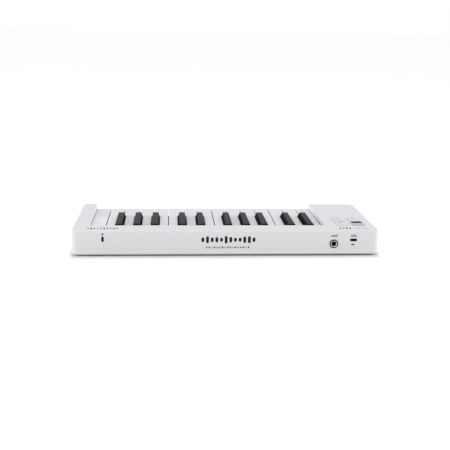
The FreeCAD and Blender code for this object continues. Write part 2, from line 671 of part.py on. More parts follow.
def make_case_bottom():
    """The lower shell: a tray with the rail in front of the keys, board posts and screw holes."""
    body = new_body("case_bottom")
    outline = sketch_on(body, "XY_Plane", "foot_height")
    add_round_box(
        outline, f"{LEFT} - base_flare", f"{RIGHT} + base_flare", f"{FRONT} - base_flare",
        f"{REAR} + base_flare", "corner_radius + base_flare",
    )
    solid = pad(body, outline, "parting_height - foot_height")
    round_edges(
        body, solid, "base_bevel", lambda edge: lies_at_height(edge, value("foot_height")), "Chamfer"
    )
    room = sketch_on(body, "XY_Plane", FLOOR)
    add_round_box(
        room, f"{LEFT} + wall", f"{RIGHT} - wall", f"{FRONT} + wall", INNER_REAR, "corner_radius - wall"
    )
    pocket(body, room, f"parting_height - {FLOOR} + 1", reverse=True)
    rail = sketch_on(body, "XY_Plane", f"{FLOOR} - 0.5")
    add_box(
        rail, f"{KEYS_LEFT} + guide_clearance", f"{KEYS_RIGHT} - guide_clearance", FRONT,
        f"{FRONT} + rail_thickness",
    )
    pad(body, rail, f"rail_height - {FLOOR} + 0.5")

    bosses = sketch_on(body, "XY_Plane", f"{FLOOR} - 0.5")
    for x, y in CASE_SCREWS:
        add_circle(bosses, x, y, "boss_radius")
    pad(body, bosses, f"parting_height - {FLOOR} + 0.5")
    board_posts = sketch_on(body, "XY_Plane", f"{FLOOR} - 0.5")
    for x, y in MAIN_BOARD_SCREWS:
        add_circle(board_posts, x, y, "small_boss")
    pad(body, board_posts, f"{MAIN_BOTTOM} - {FLOOR} + 0.5")
    jack_posts = sketch_on(body, "XY_Plane", f"{FLOOR} - 0.5")
    for x, y in JACK_BOARD_SCREWS:
        add_circle(jack_posts, x, y, "small_boss")
    pad(body, jack_posts, f"{JACK_BOARD_BOTTOM} - {FLOOR} + 0.5")

    for spots, top in ((MAIN_BOARD_SCREWS, MAIN_BOTTOM), (JACK_BOARD_SCREWS, JACK_BOARD_BOTTOM)):
        pilots = sketch_on(body, "XY_Plane", top)
        for x, y in spots:
            add_circle(pilots, x, y, "small_pilot")
        pocket(body, pilots, "small_screw_length - board_thickness")
    passages = sketch_on(body, "XY_Plane", "foot_height")
    sinks = sketch_on(body, "XY_Plane", "foot_height")
    for x, y in CASE_SCREWS + FRAME_SCREWS:
        add_circle(passages, x, y, "pass_radius")
        add_circle(sinks, x, y, "sink_radius")
    pocket(body, passages, "parting_height", reverse=True)
    pocket(body, sinks, "sink_depth", reverse=True)
    foot_pockets = sketch_on(body, "XY_Plane", "foot_height")
    for x, y in FEET:
        add_circle(foot_pockets, x, y, "foot_radius + seat_gap")
    pocket(body, foot_pockets, "foot_sink", reverse=True)


def make_feet():
    group("feet", [post(x, y, "0", "foot_height + foot_sink", "foot_radius") for x, y in FEET])


# ---------------------------------------------------------------------------------------------- keybed
def make_keybed_frame():
    """The plate that carries the keys: ears for the pivot rod, guide posts, spring pegs, stop wall."""
    left = f"({KEYS_LEFT} - ear_width / 2)"
    right = f"({KEYS_RIGHT} - guide_clearance)"
    rear = f"({PIVOT_Y} + stop_start + stop_wall)"
    pieces = [block(left, right, f"({FRONT} + plate_inset)", rear, FLOOR, PLATE)]
    stop_top = f"({TAIL_BOTTOM} - felt_clearance - felt_thickness)"
    stop_right = f"({KEYS[-1]['slot_right']} + ear_width / 2)"
    pieces.append(block(left, stop_right, f"({PIVOT_Y} + stop_start)", rear, f"({PLATE} - 0.5)", stop_top))
    ear_places = [key["slot_left"] for key in KEYS] + [KEYS[-1]["slot_right"]]
    for x in ear_places:
        pieces.append(
            block(
                f"({x} - ear_width / 2)", f"({x} + ear_width / 2)", f"({PIVOT_Y} - ear_reach)",
                f"({PIVOT_Y} + ear_reach)", f"{PLATE} - 0.5", f"({PIVOT_Z} + ear_rise)",
            )
        )
    for key in WHITES:
        pieces.append(
            block(
                f"({key['middle']} - post_width / 2)", f"({key['middle']} + post_width / 2)",
                f"({POST_Y} - post_length / 2)", f"({POST_Y} + post_length / 2)", f"{PLATE} - 0.5", POST_TOP,
            )
        )
    inside = "(black_base / 2 - key_skirt - guide_clearance)"
    for key in BLACKS:
        pieces.append(
            block(
                f"({key['slot_middle']} - {inside})", f"({key['slot_middle']} + {inside})",
                f"({BLACK_POST_Y} - post_length / 2)", f"({BLACK_POST_Y} + post_length / 2)",
                f"{PLATE} - 0.5", POST_TOP,
            )
        )
    pegs = [(key["slot_middle"], SPRING_Y) for key in KEYS]
    pieces += posts_at(pegs, f"({PLATE} - 0.5)", f"({PLATE} + spigot_length)", "spigot_radius")
    pieces += posts_at(FRAME_SCREWS, f"({PLATE} - 0.5)", f"({PLATE} + frame_boss_rise)", "boss_radius")
    holes = posts_at(FRAME_SCREWS, f"({FLOOR} - 1)", f"({PLATE} + frame_boss_rise - 1)", "pilot_radius")
    holes += posts_at(CONTACT_BOARD_SCREWS, f"({FLOOR} - 1)", f"({PLATE} + 1)", "small_pilot")
    holes.append(cross_rod(f"({left} - 1)", f"({stop_right} + 1)", PIVOT_Y, PIVOT_Z, "rod_radius"))
    keep(cut(fuse(pieces), holes), "keybed_frame")


def make_pivot_rod():
    left = f"({KEYS_LEFT} - ear_width / 2)"
    right = f"({KEYS[-1]['slot_right']} + ear_width / 2)"
    keep(cross_rod(left, right, PIVOT_Y, PIVOT_Z, "rod_radius"), "pivot_rod")


def make_key_stops():
    """Felt under the keys' fronts and under their tails."""
    left = f"({KEYS_LEFT} + guide_clearance)"
    right = f"({KEYS_RIGHT} - guide_clearance)"
    white_front = f"({FRONT} + plate_inset + seat_gap)"
    white_rear = f"({POST_Y} - post_length / 2 - seat_gap)"
    under_white = block(left, right, white_front, white_rear, PLATE, f"({PLATE} + white_stop)")
    black_front = f"({BLACK_FRONT} + seat_gap)"
    black_rear = f"({BLACK_FRONT} + felt_width)"
    under_black = block(left, right, black_front, black_rear, PLATE, f"({PLATE} + black_stop)")
    group("downstop_felt", [under_white, under_black])
    low = f"({TAIL_BOTTOM} - felt_clearance - felt_thickness)"
    tail_felt = block(
        f"({KEYS_LEFT} - ear_width / 2)", f"({KEYS[-1]['slot_right']} + ear_width / 2)",
        f"({PIVOT_Y} + ear_reach + seat_gap)", f"({PIVOT_Y} + stop_start + stop_wall)", low,
        f"({low} + felt_thickness)",
    )
    keep(tail_felt, "upstop_felt")


def make_key_springs():
    """One coil spring under each key, between the frame's peg and the key's peg.

    The coil is a six-sided wire carried along a helix of straight steps.
    """
    low = value(f"{PLATE} + spring_fit + spring_wire")
    high = value(f"{TAIL_BOTTOM} - spring_fit - spring_wire")
    radius, wire = value("spring_radius"), value("spring_wire")
    steps, sides = 8, 6
    count = round(value("spring_turns")) * steps
    path = []
    for index in range(count + 1):
        turn = 2 * math.pi * index / steps
        rise = (high - low) * index / count
        path.append(Vector(radius * math.cos(turn), radius * math.sin(turn), low + rise))
    along = (path[1] - path[0]).normalize()
    across = along.cross(Vector(0, 0, 1)).normalize()
    upward = across.cross(along)
    ring = []
    for index in range(sides + 1):
        angle = 2 * math.pi * index / sides
        ring.append(path[0] + across * (wire * math.cos(angle)) + upward * (wire * math.sin(angle)))
    coil = Part.makePolygon(path).makePipeShell([Part.makePolygon(ring)], True, False, 1)
    springs = []
    for key in KEYS:
        spring = coil.copy()
        spring.translate(Vector(value(key["slot_middle"]), value(SPRING_Y), 0))
        springs.append(spring)
    feature = doc.addObject("Part::Feature", "key_springs")
    feature.Shape = Part.makeCompound(springs)
    feature.Placement = Placement()
    keep(feature, "key_springs")


def make_contacts():
    """The circuit board under the keys and the silicone strip of domes on it."""
    left = f"({KEYS_LEFT} + guide_clearance)"
    right = f"({KEYS_RIGHT} - guide_clearance)"
    board = block(
        left, right, f"({CONTACT_Y} - contact_board_depth / 2)", f"({CONTACT_Y} + contact_board_depth / 2)",
        PLATE, CONTACT_BOARD_TOP,
    )
    holes = posts_at(CONTACT_BOARD_SCREWS, f"({PLATE} - 1)", f"({CONTACT_BOARD_TOP} + 1)", "small_pilot")
    keep(cut(board, holes), "contact_board")
    web = block(
        left, right, f"({CONTACT_Y} - web_width / 2 - 4)", f"({CONTACT_Y} + web_width / 2 - 4)",
        CONTACT_BOARD_TOP, WEB_TOP,
    )
    spots = [(key["slot_middle"], CONTACT_Y) for key in KEYS]
    domes = posts_at(spots, f"({WEB_TOP} - 0.3)", DOME_TOP, "dome_radius")
    keep(fuse([web] + domes), "contact_strip")


# ------------------------------------------------------------------------------------------------ keys
def white_outline(key):
    """The key's plan: full width in front, notched beside its black keys, with a narrow tail."""
    left, right = key["left"], key["right"]
    slim_left = key["slot_left"] if key["notch_left"] else left
    slim_right = key["slot_right"] if key["notch_right"] else right
    tail_left = f"({key['slot_middle']} - tail_width / 2)"
    tail_right = f"({key['slot_middle']} + tail_width / 2)"
    corners = [(left, KEY_FRONT), (right, KEY_FRONT)]
    if key["notch_right"]:
        corners += [(right, NOTCH), (slim_right, NOTCH)]
    corners += [
        (slim_right, TAIL_START), (tail_right, TAIL_START), (tail_right, TAIL_END),
        (tail_left, TAIL_END), (tail_left, TAIL_START), (slim_left, TAIL_START),
    ]
    if key["notch_left"]:
        corners += [(slim_left, NOTCH), (left, NOTCH)]
    return corners


def white_hollow(key):
    """The plan of the hollow under the key, one skirt inside the key's own."""
    left, right = f"({key['left']} + key_skirt)", f"({key['right']} - key_skirt)"
    slim_left = f"({key['slot_left']} + key_skirt)" if key["notch_left"] else left
    slim_right = f"({key['slot_right']} - key_skirt)" if key["notch_right"] else right
    front, shoulder = f"({KEY_FRONT} + key_skirt)", f"({NOTCH} - key_skirt)"
    corners = [(left, front), (right, front)]
    if key["notch_right"]:
        corners += [(right, shoulder), (slim_right, shoulder)]
    corners += [(slim_right, HOLLOW_END), (slim_left, HOLLOW_END)]
    if key["notch_left"]:
        corners += [(slim_left, shoulder), (left, shoulder)]
    return corners


def finish_key(body, key, left, right):
    """What every key has underneath: a raised rear, a spring peg, a contact rib and the pivot bore."""
    step = sketch_on(body, "XY_Plane", KEY_BOTTOM)
    add_box(step, f"{left} - 1", f"{right} + 1", f"{HOLLOW_END} + key_skirt", f"{TAIL_END} + 1")
    pocket(body, step, f"{TAIL_BOTTOM} - {KEY_BOTTOM}", reverse=True)
    peg = sketch_on(body, "XY_Plane", f"{TAIL_BOTTOM} + 0.5")
    add_circle(peg, key["slot_middle"], SPRING_Y, "spigot_radius")
    pad(body, peg, "spigot_length + 0.5", reverse=True)
    rib = sketch_on(body, "XY_Plane", f"{DOME_TOP} + actuator_clearance")
    half = "actuator_width / 2"
    add_box(
        rib, f"{key['slot_middle']} - {half}", f"{key['slot_middle']} + {half}", f"{CONTACT_Y} - {half}",
        f"{CONTACT_Y} + {half}",
    )
    pad(body, rib, f"{KEY_CEILING} + 0.5 - {DOME_TOP} - actuator_clearance")
    bore = sketch_on(body, "YZ_Plane", key["slot_middle"])
    add_circle(bore, PIVOT_Y, PIVOT_Z, "rod_radius + rod_clearance")
    pocket(body, bore, "tail_width + 4", midplane=True)


def make_white_key(key):
    body = new_body(f"white_key_{key['note']}")
    plan = sketch_on(body, "XY_Plane", KEY_BOTTOM)
    add_polygon(plan, white_outline(key))
    solid = pad(body, plan, f"{WHITE_TOP} - {KEY_BOTTOM}")
    top, rear = value(WHITE_TOP), value(TAIL_START)
    round_edges(
        body, solid, "key_round",
        lambda edge: lies_at_height(edge, top) and edge.BoundBox.YMin < rear - 1,
    )
    hollow = sketch_on(body, "XY_Plane", KEY_BOTTOM)
    add_polygon(hollow, white_hollow(key))
    pocket(body, hollow, f"{KEY_CEILING} - {KEY_BOTTOM}", reverse=True)
    guides = sketch_on(body, "XY_Plane", f"{KEY_CEILING} + 0.5")
    near, far = "(post_width / 2 + guide_clearance)", "(post_width / 2 + guide_clearance + guide_rib)"
    front, back = f"({POST_Y} - post_length / 2)", f"({POST_Y} + post_length / 2)"
    add_box(guides, f"{key['middle']} - {far}", f"{key['middle']} - {near}", front, back)
    add_box(guides, f"{key['middle']} + {near}", f"{key['middle']} + {far}", front, back)
    pad(body, guides, f"{KEY_CEILING} + 0.5 - {KEY_BOTTOM}", reverse=True)
    finish_key(body, key, key["left"], key["right"])


def make_black_key(key):
    """A hollow block with leaning sides and a sloping front, on a lower body that runs back to the pivot."""
    body = new_body(f"black_key_{key['note']}")
    middle = key["slot_middle"]
    left, right = f"({middle} - black_base / 2)", f"({middle} + black_base / 2)"
    tail_left, tail_right = f"({middle} - tail_width / 2)", f"({middle} + tail_width / 2)"
    plan = sketch_on(body, "XY_Plane", KEY_BOTTOM)
    add_polygon(
        plan,
        (
            (left, BLACK_FRONT), (right, BLACK_FRONT), (right, TAIL_START), (tail_right, TAIL_START),
            (tail_right, TAIL_END), (tail_left, TAIL_END), (tail_left, TAIL_START), (left, TAIL_START),
        ),
    )
    pad(body, plan, f"{WHITE_TOP} - {KEY_BOTTOM}")
    foot = sketch_on(body, "XY_Plane", f"{WHITE_TOP} - 0.01")
    add_box(foot, left, right, BLACK_FRONT, BLACK_BACK)
    crown = sketch_on(body, "XY_Plane", BLACK_TOP)
    nose = f"({BLACK_FRONT} + black_slope)"
    add_polygon(
        crown,
        (
            (f"{middle} - black_front / 2", nose), (f"{middle} + black_front / 2", nose),
            (f"{middle} + black_rear / 2", BLACK_BACK), (f"{middle} - black_rear / 2", BLACK_BACK),
        ),
    )
    loft = body.newObject("PartDesign::AdditiveLoft", "crown")
    loft.Profile = foot
    loft.Sections = [crown]
    loft.Ruled = True
    top = value(BLACK_TOP)
    round_edges(body, loft, "black_round", lambda edge: lies_at_height(edge, top))
    hollow = sketch_on(body, "XY_Plane", KEY_BOTTOM)
    add_box(
        hollow, f"{left} + key_skirt", f"{right} - key_skirt", f"{BLACK_FRONT} + key_skirt", HOLLOW_END
    )
    pocket(body, hollow, f"{KEY_CEILING} - {KEY_BOTTOM}", reverse=True)
    finish_key(body, key, left, right)


# ----------------------------------------------------------------------------- buttons, strips, boards
def make_button(label, x, y):
    body = new_body(label)
    flange = sketch_on(body, "XY_Plane", f"{CEILING} - flange_clearance")
    half, reach = f"({BUTTON_HALF} + flange_width)", "(button_length / 2 + flange_width)"
    add_round_box(
        flange, f"{x} - {half}", f"{x} + {half}", f"{y} - {reach}", f"{y} + {reach}",
        "button_corner + flange_width",
    )
    pad(body, flange, "flange_thickness", reverse=True)
    cap = sketch_on(body, "XY_Plane", f"{CEILING} - flange_clearance - 0.5")
    add_round_box(
        cap, f"{x} - {BUTTON_HALF}", f"{x} + {BUTTON_HALF}", f"{y} - button_length / 2",
        f"{y} + button_length / 2", "button_corner",
    )
    solid = pad(body, cap, "panel_thickness + flange_clearance + 0.5 + button_rise")
    top = value("case_height + button_rise")
    round_edges(body, solid, "button_round", lambda edge: lies_at_height(edge, top))
    stem = sketch_on(body, "XY_Plane", f"{CEILING} - flange_clearance - 0.5")
    add_circle(stem, x, y, "stem_radius")
    pad(body, stem, "flange_thickness + stem_length - 0.5", reverse=True)


def make_touch_strip(label, x):
    body = new_body(label)
    outline = sketch_on(body, "XY_Plane", "case_height - touch_depth")
    left, right = f"{x} - touch_width / 2", f"{x} + touch_width / 2"
    add_round_box(outline, left, right, TOUCH_FRONT, TOUCH_REAR, "touch_width / 3")
    solid = pad(body, outline, "touch_depth")
    round_edges(body, solid, "touch_round", lambda edge: lies_at_height(edge, value("case_height")))


def make_boards():
    """The main board, the button board, the touch sensor board and the pedal socket's board."""
    main = block(MAIN_LEFT, MAIN_RIGHT, MAIN_FRONT, MAIN_REAR, MAIN_BOTTOM, MAIN_TOP)
    holes = posts_at(MAIN_BOARD_SCREWS, f"({MAIN_BOTTOM} - 1)", f"({MAIN_TOP} + 1)", "small_pilot")
    keep(cut(main, holes), "main_board")
    panel = block(
        PANEL_BOARD_LEFT, PANEL_BOARD_RIGHT, PANEL_BOARD_FRONT, PANEL_BOARD_REAR, PANEL_BOARD_BOTTOM,
        PANEL_BOARD_TOP,
    )
    low, high = f"({PANEL_BOARD_BOTTOM} - 1)", f"({PANEL_BOARD_TOP} + 1)"
    holes = posts_at(PANEL_BOARD_SCREWS, low, high, "small_pilot")
    keep(cut(panel, holes), "button_board")
    touch_left = f"({OUTER_COLUMN} - touch_width / 2 - 2)"
    touch_right = f"({INNER_COLUMN} + touch_width / 2 + 2)"
    keep(
        block(
            touch_left, touch_right, f"({TOUCH_FRONT} + 1)", f"({TOUCH_REAR} + 1)",
            f"({CEILING} - board_thickness)", CEILING,
        ),
        "touch_sensor_board",
    )
    jack = block(
        JACK_BOARD_LEFT, JACK_BOARD_RIGHT, JACK_BOARD_FRONT, JACK_BOARD_REAR, JACK_BOARD_BOTTOM,
        JACK_BOARD_TOP,
    )
    low, high = f"({JACK_BOARD_BOTTOM} - 1)", f"({JACK_BOARD_TOP} + 1)"
    holes = posts_at(JACK_BOARD_SCREWS, low, high, "small_pilot")
    keep(cut(jack, holes), "pedal_jack_board")


def make_chips():
    """The main board's processor, memory and regulator, and the header up to the button board."""
    middle = f"({MAIN_LEFT} + main_board_width / 2)"
    processor, memory, regulator = (-5, 5, 34, 44, 1.2), (-4, 1, 24, 30, 1.0), (4, 8, 50, 54, 1.5)
    chips = [
        block(
            f"({middle} + {left})", f"({middle} + {right})", f"({MAIN_FRONT} + {front})",
            f"({MAIN_FRONT} + {rear})", MAIN_TOP, f"({MAIN_TOP} + {rise})",
        )
        for left, right, front, rear, rise in (processor, memory, regulator)
    ]
    group("main_board_chips", chips)
    header = block(
        f"({middle} - 8)", f"({middle} + 8)", f"({MAIN_FRONT} + 8)", f"({MAIN_FRONT} + 11)", MAIN_TOP,
        PANEL_BOARD_BOTTOM,
    )
    keep(header, "board_link_header")


def make_button_membrane():
    """The rubber sheet on the button board, with a dome under each button's stem."""
    sheet_block = block(
        f"({PANEL_BOARD_LEFT} + 2)", f"({PANEL_BOARD_RIGHT} - 2)",
        f"({PANEL_BOARD_FRONT} + membrane_edge)", f"({PANEL_BOARD_REAR} - membrane_edge)", PANEL_BOARD_TOP,
        f"({PANEL_BOARD_TOP} + membrane_thickness)",
    )
    high = f"({CEILING} - flange_clearance - flange_thickness - stem_length - 0.3)"
    domes = [post(x, y, f"({PANEL_BOARD_TOP} + 0.3)", high, "button_dome") for _, x, y in BUTTONS]
    keep(fuse([sheet_block] + domes), "button_membrane")


def make_ribbon():
    """The flat cable from the main board down to the contact board, and its two sockets."""
    thick = "ribbon_thickness / 2"
    board_x = f"({MAIN_RIGHT} - 2)"
    drop_x = f"({MAIN_RIGHT} + 5)"
    upper = f"({MAIN_BOTTOM} - ribbon_socket_height / 2)"
    end = f"({KEYS_LEFT} + guide_clearance + 0.5)"
    body = new_body("ribbon_cable")
    sketch = sketch_on(body, "XZ_Plane", f"-{CABLE_Y}")
    add_polygon(
        sketch,
        (
            (board_x, f"{upper} - {thick}"), (f"{drop_x} - {thick}", f"{upper} - {thick}"),
            (f"{drop_x} - {thick}", f"{RIBBON_Z} - {thick}"), (end, f"{RIBBON_Z} - {thick}"),
            (end, f"{RIBBON_Z} + {thick}"), (f"{drop_x} + {thick}", f"{RIBBON_Z} + {thick}"),
            (f"{drop_x} + {thick}", f"{upper} + {thick}"), (board_x, f"{upper} + {thick}"),
        ),
    )
    pad(body, sketch, "ribbon_width", midplane=True)
    half = "(ribbon_width / 2 + 0.5)"
    front, rear = f"({CABLE_Y} - {half})", f"({CABLE_Y} + {half})"
    on_main = block(
        f"({board_x} - ribbon_socket_length)", board_x, front, rear,
        f"({MAIN_BOTTOM} - ribbon_socket_height)", MAIN_BOTTOM,
    )
    on_contacts = block(
        end, f"({end} + ribbon_socket_length)", front, rear, CONTACT_BOARD_TOP,
        f"({CONTACT_BOARD_TOP} + ribbon_socket_height)",
    )
    group("ribbon_sockets", [on_main, on_contacts])


# --------------------------------------------------------------------------------------------- sockets
def make_pedal_jack():
    half, rise = "(jack_body_width / 2)", "(jack_body_height / 2)"
    back = f"({JACK_FACE} - jack_body_length)"
    shell = block(
        f"({JACK_X} - {half})", f"({JACK_X} + {half})", back, JACK_FACE, f"(jack_height - {rise})",
        f"(jack_height + {rise})",
    )
    bore = doc.addObject("Part::Cylinder", "bore")
    bore.Placement = Placement(Vector(0, 0, 0), Rotation(Vector(1, 0, 0), -90))
    bind(bore, "Placement.Base.x", JACK_X)
    bind(bore, "Placement.Base.y", f"{back} + jack_back")
    bind(bore, "Placement.Base.z", "jack_height")
    bind(bore, "Radius", "jack_bore")
    bind(bore, "Height", "jack_body_length")
    keep(cut(shell, [bore]), "pedal_jack_body")

    body = new_body("pedal_jack_bushing")
    ring = sketch_on(body, "XZ_Plane", f"-{JACK_FACE}")
    add_circle(ring, JACK_X, "jack_height", "bushing_radius")
    add_circle(ring, JACK_X, "jack_height", "jack_bore")
    solid = pad(body, ring, f"{REAR} + bushing_proud - {JACK_FACE}", reverse=True)
    outer = value(f"{REAR} + bushing_proud")
    round_edges(body, solid, "bushing_proud * 0.9", lambda edge: edge.BoundBox.YMin > outer - 1e-4)


def make_usb_socket():
    body = new_body("usb_socket_shell")
    half, rise = "(usb_width / 2)", "(usb_rise / 2)"
    outline = sketch_on(body, "XZ_Plane", f"-{USB_FACE}")
    add_round_box(
        outline, f"{USB_X} - {half}", f"{USB_X} + {half}", f"usb_height - {rise}", f"usb_height + {rise}",
        f"{rise} - 0.05",
    )
    pad(body, outline, "usb_length")
    inside = sketch_on(body, "XZ_Plane", f"-{USB_FACE}")
    add_round_box(
        inside, f"{USB_X} - {half} + usb_skin", f"{USB_X} + {half} - usb_skin",
        f"usb_height - {rise} + usb_skin", f"usb_height + {rise} - usb_skin", f"{rise} - usb_skin - 0.05",
    )
    pocket(body, inside, "usb_length - 1", reverse=True)
    tongue = block(
        f"({USB_X} - tongue_width / 2)", f"({USB_X} + tongue_width / 2)", f"({USB_FACE} - usb_length + 1)",
        f"({USB_FACE} - 1)", "(usb_height - tongue_thickness / 2)", "(usb_height + tongue_thickness / 2)",
    )
    keep(tongue, "usb_socket_tongue")


def make_lock_plate():
    body = new_body("lock_plate")
    sketch = sketch_on(body, "XZ_Plane", f"-{JACK_FACE}")
    add_box(
        sketch, f"{LOCK_X} - lock_plate_width / 2", f"{LOCK_X} + lock_plate_width / 2",
        f"lock_height - lock_plate_height / 2", f"lock_height + lock_plate_height / 2",
    )
    add_round_box(
        sketch, f"{LOCK_X} - lock_width / 2", f"{LOCK_X} + lock_width / 2",
        "lock_height - lock_length / 2", "lock_height + lock_length / 2", "lock_corner",
    )
    pad(body, sketch, "lock_plate_thickness")


# -------------------------------------------------------------------------------------------- fixings
def screw(x, y, under_head, length, upward, radius, head, head_height):
    """A round-headed screw whose thread runs up or down from under its head."""
    if upward:
        thread = post(x, y, f"({under_head} - 0.1)", f"({under_head} + ({length}))", radius)
        cap = post(x, y, f"({under_head} - {head_height})", under_head, head)
    else:
        thread = post(x, y, f"({under_head} - ({length}))", f"({under_head} + 0.1)", radius)
        cap = post(x, y, under_head, f"({under_head} + {head_height})", head)
    return fuse([thread, cap])


def make_screws():
    large = ("screw_radius", "head_radius", "head_height")
    small = ("small_screw", "small_head", "small_head_height")
    seat = "(foot_height + sink_depth)"
    group("case_screws", [screw(x, y, seat, "case_screw_length", True, *large) for x, y in CASE_SCREWS])
    group("frame_screws", [screw(x, y, seat, "frame_screw_length", True, *large) for x, y in FRAME_SCREWS])
    length = "small_screw_length - seat_gap"
    main = [screw(x, y, MAIN_TOP, length, False, *small) for x, y in MAIN_BOARD_SCREWS]
    jack = [screw(x, y, JACK_BOARD_TOP, length, False, *small) for x, y in JACK_BOARD_SCREWS]
    panel = [screw(x, y, PANEL_BOARD_BOTTOM, length, True, *small) for x, y in PANEL_BOARD_SCREWS]
    contact_length = "(board_thickness + plate_thickness - 0.1)"
    contact = [
        screw(x, y, CONTACT_BOARD_TOP, contact_length, False, *small) for x, y in CONTACT_BOARD_SCREWS
    ]
    group("board_screws", main + jack + panel + contact)


# --------------------------------------------------------------------------------------------- build
make_case_top()
make_case_bottom()
make_feet()
make_keybed_frame()
make_pivot_rod()
make_key_stops()
make_key_springs()
make_contacts()
for key in WHITES:
    make_white_key(key)
for key in BLACKS:
    make_black_key(key)
for name, x, y in BUTTONS:
    make_button(name, x, y)
for name, x in TOUCH_STRIPS:
    make_touch_strip(name, x)
make_boards()
make_chips()
make_button_membrane()
make_ribbon()
make_pedal_jack()
make_usb_socket()
make_lock_plate()
make_screws()
doc.recompute()

# -------------------------------------------------------------------------------------- check and write
for thing in doc.Objects:
    if "Invalid" in thing.State or "Error" in thing.State:
        raise RuntimeError(f"{thing.Label} did not compute: {thing.State}")
for feature, body in cuts:
    before = feature.BaseFeature.Shape.Volume
    if feature.Shape.Volume > before - 0.01:
        raise RuntimeError(f"a pocket of {body.Label} removed nothing")
os.makedirs("parts", exist_ok=True)
for thing in finished:
    shape = thing.Shape
    if shape.isNull() or not shape.isValid():
        raise RuntimeError(f"{thing.Label} has no valid shape")
    shape.exportStep(f"parts/{thing.Label}.step")
    print(f"{thing.Label}: {len(shape.Solids)} solids, {shape.Volume / 1000:.2f} cm3")
print(len(finished), "nodes")
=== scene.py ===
import json
import math

import bmesh
import bpy
import numpy as np
from mathutils import Matrix, Vector


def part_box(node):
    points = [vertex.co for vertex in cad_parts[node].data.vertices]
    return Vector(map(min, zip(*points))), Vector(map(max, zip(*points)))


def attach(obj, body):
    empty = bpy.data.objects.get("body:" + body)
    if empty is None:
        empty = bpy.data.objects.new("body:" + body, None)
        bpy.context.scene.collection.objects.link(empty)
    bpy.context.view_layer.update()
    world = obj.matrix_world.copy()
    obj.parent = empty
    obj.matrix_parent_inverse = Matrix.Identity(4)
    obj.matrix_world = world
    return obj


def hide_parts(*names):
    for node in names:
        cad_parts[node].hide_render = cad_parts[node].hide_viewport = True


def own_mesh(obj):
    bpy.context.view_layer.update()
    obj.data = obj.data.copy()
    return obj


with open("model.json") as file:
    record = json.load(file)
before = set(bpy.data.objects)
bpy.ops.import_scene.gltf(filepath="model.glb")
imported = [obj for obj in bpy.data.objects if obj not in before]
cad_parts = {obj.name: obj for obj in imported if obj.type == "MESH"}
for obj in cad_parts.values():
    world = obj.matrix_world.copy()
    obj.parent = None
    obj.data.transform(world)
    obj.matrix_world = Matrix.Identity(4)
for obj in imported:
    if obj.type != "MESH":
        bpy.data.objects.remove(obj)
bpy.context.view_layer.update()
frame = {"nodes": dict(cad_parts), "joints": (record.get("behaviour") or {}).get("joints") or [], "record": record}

MM = 0.001
nodes = frame["nodes"]


# ------------------------------------------------------------------------------------- shader maths
class Term:
    """A node socket that Python's operators work on; each operation adds a Math node."""

    def __init__(self, shader, socket):
        self.shader = shader
        self.socket = socket

    def math(self, operation, *others):
        inputs = {0: self}
        inputs.update({index: other for index, other in enumerate(others, start=1)})
        return self.shader.add("ShaderNodeMath", {"operation": operation}, inputs)

    def __add__(self, other):
        return self.math("ADD", other)

    def __radd__(self, other):
        return self.math("ADD", other)

    def __mul__(self, other):
        return self.math("MULTIPLY", other)

    def __rmul__(self, other):
        return self.math("MULTIPLY", other)

    def __sub__(self, other):
        return self.math("SUBTRACT", other)

    def __rsub__(self, other):
        return self.shader.add("ShaderNodeMath", {"operation": "SUBTRACT"}, {0: other, 1: self})

    def clamp(self):
        return self.shader.add("ShaderNodeClamp", {}, {"Value": self})


class Shader:
    """A Principled material under construction."""

    def __init__(self, name):
        self.material = bpy.data.materials.new(name)
        self.material.use_nodes = True
        self.tree = self.material.node_tree
        self.surface = self.tree.nodes["Principled BSDF"]

    def add(self, kind, settings, inputs, output=0):
        """Adds a node: its settings first, then the values or links of its sockets."""
        node = self.tree.nodes.new(kind)
        for key, setting in settings.items():
            if key == "stops":
                ramp = node.color_ramp
                for position, color in setting[1:-1]:
                    ramp.elements.new(position).color = color
                ramp.elements[0].position, ramp.elements[0].color = setting[0]
                ramp.elements[-1].position, ramp.elements[-1].color = setting[-1]
            else:
                setattr(node, key, setting)
        for key, given in inputs.items():
            self.feed(node.inputs[key], given)
        return Term(self, node.outputs[output])

    def feed(self, socket, given):
        if isinstance(given, Term):
            self.tree.links.new(given.socket, socket)
        else:
            socket.default_value = given

    def set(self, **inputs):
        """Values or links for the surface; underscores stand for the spaces in a socket's name."""
        for key, given in inputs.items():
            self.feed(self.surface.inputs[key.replace("_", " ")], given)
        return self

    def place(self):
        return self.add("ShaderNodeTexCoord", {}, {}, "Object")

    def axis(self, vector, index):
        """One of a vector's X, Y and Z."""
        return self.add("ShaderNodeSeparateXYZ", {}, {"Vector": vector}, index)

    def upward(self, output):
        """How far the surface faces up: output 1 is the shading normal, 3 the flat face's own."""
        return self.axis(self.add("ShaderNodeNewGeometry", {}, {}, output), 2)

    def noise(self, scale, detail=3.0, roughness=0.55, vector=None):
        """Soft noise from 0 to 1, with scale cells to the metre."""
        inputs = {"Vector": vector or self.place(), "Scale": scale, "Detail": detail, "Roughness": roughness}
        return self.add("ShaderNodeTexNoise", {}, inputs, "Fac")

    def blend(self, factor, low, high):
        """A colour between two colours."""
        inputs = {"Factor": factor, 6: low, 7: high}
        return self.add("ShaderNodeMix", {"data_type": "RGBA"}, inputs, 2)

    def bump(self, height, depth, strength=1.0):
        inputs = {"Height": height, "Distance": depth, "Strength": strength}
        return self.add("ShaderNodeBump", {}, inputs)


